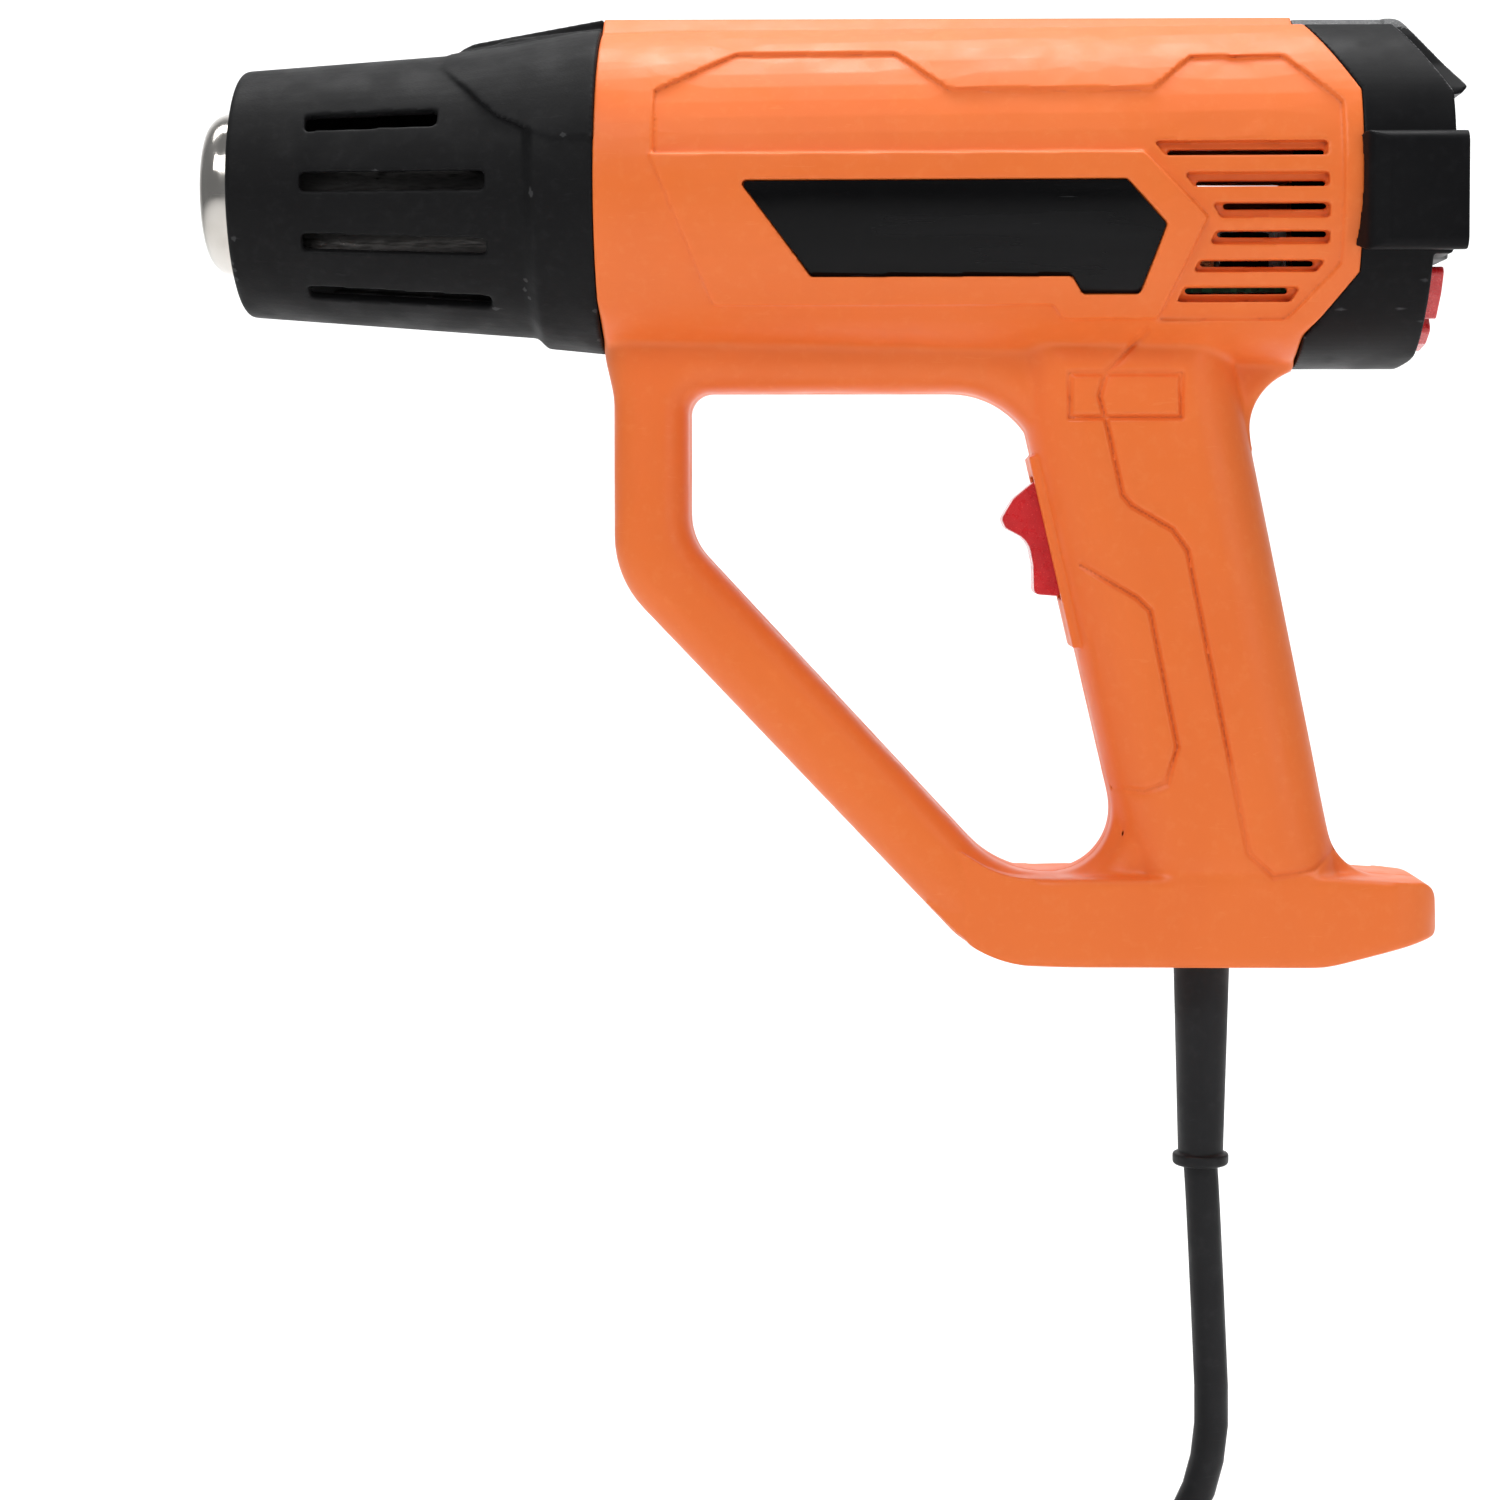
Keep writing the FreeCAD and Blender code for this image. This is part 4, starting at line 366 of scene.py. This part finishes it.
def softened(node, voxel_mm, rounds, faces, body="gun", blend=None):
    """A moulded copy of a CAD piece: the same shape with every edge softly rounded."""
    obj = link(bpy.data.objects.new(node + "_skin", NODES[node].data.copy()))
    remesh = obj.modifiers.new("remesh", "REMESH")
    remesh.mode = "VOXEL"
    remesh.voxel_size = voxel_mm * MM
    relax = obj.modifiers.new("relax", "SMOOTH")
    relax.factor = 0.5
    relax.iterations = rounds
    baked(obj)
    if blend is not None:
        blend(obj)
    count = len(obj.data.polygons) * 2
    if count > faces:
        thin = obj.modifiers.new("thin", "DECIMATE")
        thin.ratio = faces / count
        baked(obj)
    obj.data.shade_smooth()
    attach(obj, body)
    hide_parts(node)
    return obj


def lathed(name, profile, segments=144):
    """Turn a closed (x, radius) profile about the barrel's axis."""
    bm = bmesh.new()
    rings = []
    for i in range(segments):
        turn = 2 * math.pi * i / segments
        side, up = math.cos(turn), math.sin(turn)
        rings.append([bm.verts.new(at(x, r * side, AXIS_Z + r * up)) for x, r in profile])
    for i, ring in enumerate(rings):
        following = rings[(i + 1) % segments]
        for j in range(len(profile)):
            k = (j + 1) % len(profile)
            bm.faces.new((ring[j], ring[k], following[k], following[j]))
    return smooth(from_bmesh(name, bm), 35)


def end_plate(name, loops, x, thick, centre=(0.0, 0.0)):
    """Flat shapes facing rearwards (+X), given as (y, z) outlines about the barrel's axis."""
    bm = bmesh.new()
    for loop in loops:
        front = [bm.verts.new(at(x + thick, centre[0] + u, AXIS_Z + centre[1] + v)) for u, v in loop]
        back = [bm.verts.new(at(x, centre[0] + u, AXIS_Z + centre[1] + v)) for u, v in loop]
        bm.faces.new(front)
        bm.faces.new(list(reversed(back)))
        for i in range(len(loop)):
            k = (i + 1) % len(loop)
            bm.faces.new((front[i], back[i], back[k], front[k]))
    return from_bmesh(name, bm)


def bar(u, v, width, height, slant=0.0):
    half_w = width / 2
    half_h = height / 2
    return [(u - half_w - slant * half_h, v - half_h), (u + half_w - slant * half_h, v - half_h),
            (u + half_w + slant * half_h, v + half_h), (u - half_w + slant * half_h, v + half_h)]


def disc(u, v, radius, count=20):
    return [(u + radius * math.cos(2 * math.pi * i / count), v + radius * math.sin(2 * math.pi * i / count))
            for i in range(count)]


def ring_strips(u, v, radius, width, count=28):
    strips = []
    for i in range(count):
        a = 2 * math.pi * i / count
        b = 2 * math.pi * (i + 1) / count
        strips.append([(u + r * math.cos(t), v + r * math.sin(t))
                       for r, t in ((radius, a), (radius, b), (radius + width, b), (radius + width, a))])
    return strips


def blade(u, v, turn, length):
    """One curved fan blade of an icon."""
    points = []
    steps = 7
    for i in range(steps):
        t = i / (steps - 1)
        angle = turn + 0.9 * t
        points.append((u + length * t * math.cos(angle), v + length * t * math.sin(angle)))
    for i in range(steps - 2, 0, -1):
        t = i / (steps - 1)
        angle = turn + 0.9 * t + 0.75 * math.sin(math.pi * t)
        points.append((u + length * t * math.cos(angle), v + length * t * math.sin(angle)))
    return points


def fan_icon(u, v, size, ringed=True):
    loops = [blade(u, v, turn, size) for turn in (0.3, 0.3 + 2 * math.pi / 3, 0.3 + 4 * math.pi / 3)]
    return loops + (ring_strips(u, v, size * 1.12, size * 0.14) if ringed else [])


# ---------------------------------------------------------------- display and buttons

def seven_segments(u, v, width, height, lit):
    """The lit bars of one digit, each a slightly slanted six-sided bar."""
    slant = 0.07
    half = height / 2
    thick = 0.13 * height
    loops = []
    places = {"a": (0, half, True), "g": (0, 0, True), "d": (0, -half, True),
              "b": (width / 2, half / 2, False), "c": (width / 2, -half / 2, False),
              "f": (-width / 2, half / 2, False), "e": (-width / 2, -half / 2, False)}
    for key in lit:
        du, dv, level = places[key]
        reach = (width if level else half) / 2 - 0.16
        t = thick / 2
        if level:
            shape = [(-reach, 0), (-reach + t, -t), (reach - t, -t),
                     (reach, 0), (reach - t, t), (-reach + t, t)]
        else:
            shape = [(0, -reach), (t, -reach + t), (t, reach - t),
                     (0, reach), (-t, reach - t), (-t, -reach + t)]
        loops.append([(u + du + x + slant * (dv + y), v + dv + y) for x, y in shape])
    return loops


def display_loops():
    loops = []
    for u, lit in ((-8.1, "afedcg"), (-1.0, "afgcd"), (6.1, "abcdef")):
        loops += seven_segments(u, 2.9, 4.6, 8.8, lit)
    loops += ring_strips(11.0, 7.9, 0.32, 0.22, 12)
    for u, v, w, h in ((12.9, 7.6, 1.7, 0.34), (12.2, 6.3, 0.34, 2.4), (12.9, 5.0, 1.7, 0.34)):
        loops.append(bar(u, v, w, h))
    for i in range(6):
        v = -7.9 + i * 0.86
        outer = 10.6 * math.sqrt(max(0.0, 1 - (i / 6.6) ** 2))
        inner = 4.3 * math.sqrt(max(0.05, 1 - (i / 6.2) ** 2))
        for side in (-1, 1):
            loops.append(bar(side * (outer + inner) / 2, v, outer - inner, 0.5))
    return loops + fan_icon(0.2, -5.9, 2.0, ringed=False)


def lcd_glow():
    """Backlit blue, brighter to the right, with a little violet at the upper right."""
    f = Finish("lcd_glow", roughness=0.2).base((0.012, 0.30, 0.95))
    axes = f.add("ShaderNodeSeparateXYZ")
    f.tree.links.new(f.coords, axes.inputs[0])
    f.tint(f.span(axes.outputs["Y"], -0.002, 0.014), (0.0, 0.78, 0.95), 0.9)
    up = f.span(axes.outputs["Z"], (AXIS_Z + 1) * MM, (AXIS_Z + 10) * MM)
    f.tint(up, (0.10, 0.24, 0.92), 0.75)
    f.tint(f.span(f.noise(0.6, 2.0), 0.35, 0.7), (0.02, 0.42, 1.0), 0.25)
    f.shine(f.noise(4), 0.12, 0.3)
    f.relief(f.noise(0.4, 1.0), 0.01)
    f.tree.links.new(f.colour, f.shader.inputs["Emission Color"])
    f.shader.inputs["Emission Strength"].default_value = 0.75
    return f.done()


def lcd_ink():
    f = Finish("lcd_ink", roughness=0.35).base((0.035, 0.05, 0.62))
    f.tint(f.span(f.noise(1.5), 0.35, 0.7), (0.05, 0.08, 0.80), 0.6)
    f.shine(f.noise(3), 0.25, 0.45)
    f.relief(f.noise(0.5), 0.01)
    f.tree.links.new(f.colour, f.shader.inputs["Emission Color"])
    f.shader.inputs["Emission Strength"].default_value = 0.35
    return f.done()


def window_glass():
    f = Finish("window_glass", roughness=0.04).base((0.93, 0.97, 1.0))
    f.tint(f.span(f.noise(12), 0.4, 0.7), (0.84, 0.92, 1.0), 0.5)
    f.shine(f.noise(5, 6.0), 0.02, 0.08)
    f.relief(f.noise(20), 0.01)
    f.shader.inputs["Transmission Weight"].default_value = 1.0
    f.shader.inputs["IOR"].default_value = 1.12
    return f.done()


LCD_FACE_X = 51.72
LCD_INK_THICK = 0.12


def make_display():
    coat_with(NODES["lcd_panel"], lcd_glow())
    coat_with(NODES["display_window"], window_glass())
    digits = end_plate("lcd_digits", display_loops(), LCD_FACE_X, LCD_INK_THICK)
    coat_with(digits, lcd_ink())
    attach(digits, "gun")


FACE_X = 50.8
ICON_RISE = 0.07
ICON_SUNK = 0.1


def make_buttons():
    plus = [bar(0, 0, 4.2, 0.75), bar(0, 1.25, 0.75, 1.75), bar(0, -1.25, 0.75, 1.75)]
    minus = [bar(0, 0, 4.0, 0.75)]
    thermometer = [bar(0, 0.9, 1.15, 4.2), disc(0, -1.9, 1.25)]

    def moved(loops, u, v):
        return [[(a + u, b + v) for a, b in loop] for loop in loops]

    icons = {
        "button_fan_up": fan_icon(-4.0, -20.0, 1.75) + moved(plus, 4.1, -20.0),
        "button_fan_down": fan_icon(-5.6, -29.0, 1.75) + moved(minus, 6.2, -29.0),
        "button_temp_up": moved(thermometer, 17.9, -21.8) + moved(plus, 22.6, -20.7),
        "button_temp_down": moved(thermometer, -17.9, -21.8) + moved(minus, -22.6, -20.7),
    }
    for node, loops in icons.items():
        body = node.replace("button_", "") + "_key"
        skin = softened(node, 0.16, 3, 30000, body)
        coat_with(skin, M["red"])
        icon = end_plate(node + "_icon", loops, FACE_X - ICON_SUNK, ICON_SUNK + ICON_RISE)
        coat_with(icon, M["icon"])
        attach(icon, body)


# ---------------------------------------------------------------- nozzle

TUBE_START_X = -181.0
TUBE_REAR_X = -111.0
TUBE_OUT_R = 17.6
TUBE_IN_R = 16.8
LIP_R = 16.9
FLANGE_R = 25.0
RIM_X = -197.0
RIM_R = 12.3
RIM_DEPTH = 4.8
RIM_WIDTH = 4.6
RIM_STEPS = 15


def make_nozzle():
    """The polished tube: a domed rim in front, the plain tube and its flange hidden by the shroud."""
    rim = []
    for i in range(RIM_STEPS):
        turn = math.pi / 2 * i / (RIM_STEPS - 1)
        rim.append((RIM_X - RIM_DEPTH * math.cos(turn), RIM_R + RIM_WIDTH * math.sin(turn)))
    mouth = [(-201.75, 12.0), (-201.5, 11.7), (-201.0, 11.5), (-199.6, 11.6), (-198.2, 14.0),
             (-196.8, 15.6), (-195.5, 16.1), (-181.5, 16.1)]
    tube = [(-180.0, TUBE_IN_R), (-109.9, TUBE_IN_R), (-109.8, FLANGE_R), (TUBE_REAR_X, FLANGE_R),
            (TUBE_REAR_X, TUBE_OUT_R), (-180.6, TUBE_OUT_R), (TUBE_START_X, LIP_R)]
    nozzle = lathed("nozzle_skin", rim + list(reversed(mouth + tube)))
    coat_with(nozzle, M["chrome"], M["tube"])
    for face in nozzle.data.polygons:
        hidden = face.center.x > TUBE_START_X * MM
        face.material_index = 1 if hidden else 0
    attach(nozzle, "gun")
    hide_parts("nozzle_tube")


# ---------------------------------------------------------------- moulded skins

def near(value, middle, flat, fade):
    """1 within flat of the middle, falling to 0 over fade."""
    t = (abs(value - middle) - flat) / fade
    return 1.0 if t <= 0 else max(0.0, 1.0 - t)


# lines engraved on both sides of the grip, as (x, z)
GRIP_LINES = [
    [(-7.7, 59.9), (-15.7, 51.5), (-17.0, 46.8), (-15.1, 39.8), (-12.2, 26.7), (-10.4, 24.5),
     (-2.0, 19.6), (1.1, 15.3), (13.8, -46.8), (18.9, -51.5),
     (27.6, -50.3), (32.5, -46.9)],
    [(-20.4, 12.2), (-9.2, 5.6), (-6.5, 3.0), (-0.8, -24.9), (-3.0, -32.5), (-7.3, -34.1), (-14.7, -33.9)],
    [(-23.0, 51.5), (-0.3, 51.5), (-0.3, 42.5), (-23.0, 42.5), (-23.0, 51.5)],
]
GROOVE_HALF = 0.75
GROOVE_DEPTH = 0.5


def gap_to_line(x, z, start, end):
    """How far a point is from a straight piece of line."""
    dx, dz = end[0] - start[0], end[1] - start[1]
    along = ((x - start[0]) * dx + (z - start[1]) * dz) / (dx * dx + dz * dz)
    along = min(1.0, max(0.0, along))
    return math.hypot(x - start[0] - along * dx, z - start[1] - along * dz)


def engrave(obj):
    """Press the grip's lines into the outer face."""
    pieces = [pair for line in GRIP_LINES for pair in zip(line, line[1:])]
    sinks = []
    for v in obj.data.vertices:
        x, y, z = v.co / MM
        outward = v.normal.y * (1 if y > 0 else -1)
        if not (-25 < x < 35 and -53 < z < 62 and outward > 0.3):
            continue
        gap = min(gap_to_line(x, z, start, end) for start, end in pieces)
        if gap < GROOVE_HALF:
            depth = GROOVE_DEPTH * (1 - (gap / GROOVE_HALF) ** 2)
            sinks.append((v, math.copysign(depth * MM, y)))
    for v, sink in sinks:
        v.co.y -= sink


def junction_weight(x, y, z):
    """Where the mouldings flow into each other: barrel to grip, grip to base, and the base's lower edge."""
    if z > 66 or y < 2:
        return 0.0
    barrel = near(z, 56.5, 4.5, 5.5) * near(y, 13.5, 6.0, 4.0) if z > 46 and -122 < x < 40 else 0.0
    foot = near(z, -46.0, 12.0, 7.0) * near(y, 12.0, 7.0, 3.5) if z < -26 and -30 < x < 44 else 0.0
    heel = near(z, 52.0, 8.0, 5.0) * near(y, 10.0, 5.0, 3.0) if z > 38 and x > 4 else 0.0
    sole = near(z, -70.0, 3.0, 3.0) * near(y, 15.0, 5.0, 3.0) if z < -63 else 0.0
    return max(barrel, foot, heel, sole)


# the base's front lower corner: middle of its arc and the arc's radius
CORNER_X = -27.9
CORNER_Z = -40.6
CORNER_R = 30.0
CORNER_FROM = math.radians(225)
CORNER_TO = math.radians(270)


def round_corner(obj):
    """Bring the base's front lower corner in to one arc that meets the guard."""
    for v in obj.data.vertices:
        if v.co.z > CORNER_Z * MM or v.co.x > CORNER_X * MM:
            continue
        x, y, z = v.co / MM
        turn = math.atan2(z - CORNER_Z, x - CORNER_X) % (2 * math.pi)
        reach = math.hypot(x - CORNER_X, z - CORNER_Z)
        if CORNER_FROM <= turn <= CORNER_TO and reach > CORNER_R:
            v.co = at(CORNER_X + CORNER_R * math.cos(turn), y, CORNER_Z + CORNER_R * math.sin(turn))


# the grip's middle line leans: its x at one height, and how x changes with height
GRIP_MIDDLE_X = 13.5
GRIP_MIDDLE_Z = -60.0
GRIP_SLANT = -0.219
FOOT_TOP_Z = -26.0
LEAST_WEIGHT = 0.02
FLOW_FACTOR = 0.9
FLOW_ROUNDS = 50


def on_outer_skin(vertex, x, y, z):
    """False on the walls of the grip's hollow, which stay as they are."""
    out_x = x - GRIP_MIDDLE_X - GRIP_SLANT * (z - GRIP_MIDDLE_Z)
    return vertex.normal.x * out_x + vertex.normal.y * y > -0.1 * math.hypot(out_x, y)


def blend_grip(obj):
    """Let the barrel flow into the grip and the guard, as one moulding does."""
    group = obj.vertex_groups.new(name="junction")
    for v in obj.data.vertices:
        x, y, z = v.co / MM
        weight = junction_weight(x, abs(y), z)
        if weight > LEAST_WEIGHT and (z > FOOT_TOP_Z or on_outer_skin(v, x, y, z)):
            group.add([v.index], weight, "REPLACE")
    flow = obj.modifiers.new("flow", "SMOOTH")
    flow.factor = FLOW_FACTOR
    flow.iterations = FLOW_ROUNDS
    flow.vertex_group = "junction"
    baked(obj)
    engrave(obj)
    round_corner(obj)


GRAIN_FROM_RISE = 16.8
CAP_TOP_RISE = 32.6
FACET_SLOPE = 0.35


def grain_upper_cap(cap):
    """The hood and the sloping facets above the screen are grained, the rest is satin."""
    for face in cap.data.polygons:
        rise = face.center.z / MM - AXIS_Z
        sloping = face.normal.x > FACET_SLOPE or rise > CAP_TOP_RISE
        face.material_index = 1 if rise > GRAIN_FROM_RISE and sloping else 0


def make_skins():
    for side in ("left", "right"):
        coat_with(softened("housing_" + side, 0.4, 2, 150000, blend=blend_grip), M["orange"])
        coat_with(softened("side_bumper_" + side, 0.28, 3, 60000), M["satin"])
    coat_with(softened("nose_shroud", 0.42, 7, 120000), M["black"])
    cap = softened("rear_cap", 0.36, 3, 130000)
    coat_with(cap, M["satin"], M["grain"])
    grain_upper_cap(cap)
    coat_with(softened("display_bezel", 0.2, 3, 50000), M["gloss"])
    coat_with(softened("rocker_switch", 0.2, 3, 40000, "rocker"), M["red"])
    coat_with(softened("strain_relief", 0.25, 3, 50000), M["rubber"])
    coat_with(softened("mains_plug", 0.35, 4, 40000), M["rubber"])


KEPT = {
    "gloss": ("nameplate_left", "nameplate_right", "switch_body", "board_capacitor", "triac",
              "tact_switches", "coil_tie"),
    "steel": ("housing_screws", "motor_shaft", "motor_case", "rocker_pivot", "clamp_screws"),
    "wire": ("heating_coils", "thermocouple", "motor_magnets"),
    "mica": ("mica_sleeve",),
    "ceramic": ("heater_former", "ceramic_seat"),
    "black": ("fan_duct",),
    "nylon": ("air_funnel", "fan_impeller", "motor_end_cap", "lcd_backlight", "cord_clamp"),
    "copper": ("motor_rotor", "board_transformer"),
    "board": ("display_board", "keypad_board", "control_board"),
    "grey": ("button_mat", "power_leads", "display_ribbon"),
    "brass": ("switch_terminals", "plug_pins"),
    "alu": ("heat_sink",),
    "rubber": ("cord_inside",),
}


def coat_kept_nodes():
    for key, names in KEPT.items():
        for name in names:
            coat_with(NODES[name], M[key])


# ---------------------------------------------------------------- studio

# the floor and its sweep, in metres
ROOM = 4.0
SWEEP_START = 0.9
SWEEP_R = 0.8
SWEEP_STEPS = 12


def make_studio():
    """A pale floor that sweeps up behind the gun, and soft lamps."""
    bm = bmesh.new()
    section = [(-ROOM, 0.0), (SWEEP_START, 0.0)]
    for i in range(1, SWEEP_STEPS + 1):
        turn = math.pi / 2 * i / SWEEP_STEPS
        section.append((SWEEP_START + SWEEP_R * math.sin(turn), SWEEP_R * (1 - math.cos(turn))))
    section.append((SWEEP_START + SWEEP_R, ROOM))
    rows = [[bm.verts.new((x, y, FLOOR_Z * MM + z)) for x in (-ROOM, ROOM)] for y, z in section]
    for low, high in zip(rows, rows[1:]):
        bm.faces.new((low[0], low[1], high[1], high[0]))
    sweep = smooth(from_bmesh("studio_sweep", bm))
    paper = Finish("studio_paper", roughness=0.9).base((0.90, 0.90, 0.90))
    paper.tint(paper.span(paper.noise(60), 0.4, 0.6), (0.88, 0.88, 0.88), 0.5)
    coat_with(sweep, paper.done())
    world = bpy.data.worlds.new("studio")
    world.use_nodes = True
    world.node_tree.nodes["Background"].inputs["Color"].default_value = (0.96, 0.98, 1.0, 1.0)
    world.node_tree.nodes["Background"].inputs["Strength"].default_value = 0.26
    bpy.context.scene.world = world
    # each lamp: name, place, target, width, height, watts
    lamps = [
        ("key", (-0.75, -1.2, 1.15), (-0.07, 0, 0.02), 0.9, 0.6, 13.0),
        ("fill", (1.0, -1.1, 0.35), (-0.05, 0, 0.0), 0.6, 1.0, 3.2),
        ("top", (0.0, 0.05, 1.4), (-0.07, 0, 0.0), 1.2, 0.35, 9.5),
        ("backdrop", (0.0, 0.35, 1.5), (0.0, 1.4, 0.0), 2.4, 0.6, 34.0),
    ]
    for name, place, target, width, height, power in lamps:
        data = bpy.data.lights.new(name, "AREA")
        data.shape = "RECTANGLE"
        data.size = width
        data.size_y = height
        data.energy = power
        lamp = link(bpy.data.objects.new(name, data))
        lamp.location = place
        lamp.rotation_mode = "QUATERNION"
        lamp.rotation_quaternion = (Vector(target) - Vector(place)).to_track_quat("-Z", "Y")
    bpy.context.scene.view_settings.view_transform = "Standard"


make_display()
make_buttons()
make_nozzle()
make_skins()
coat_kept_nodes()
coat_with(CORD, M["rubber"])
make_studio()
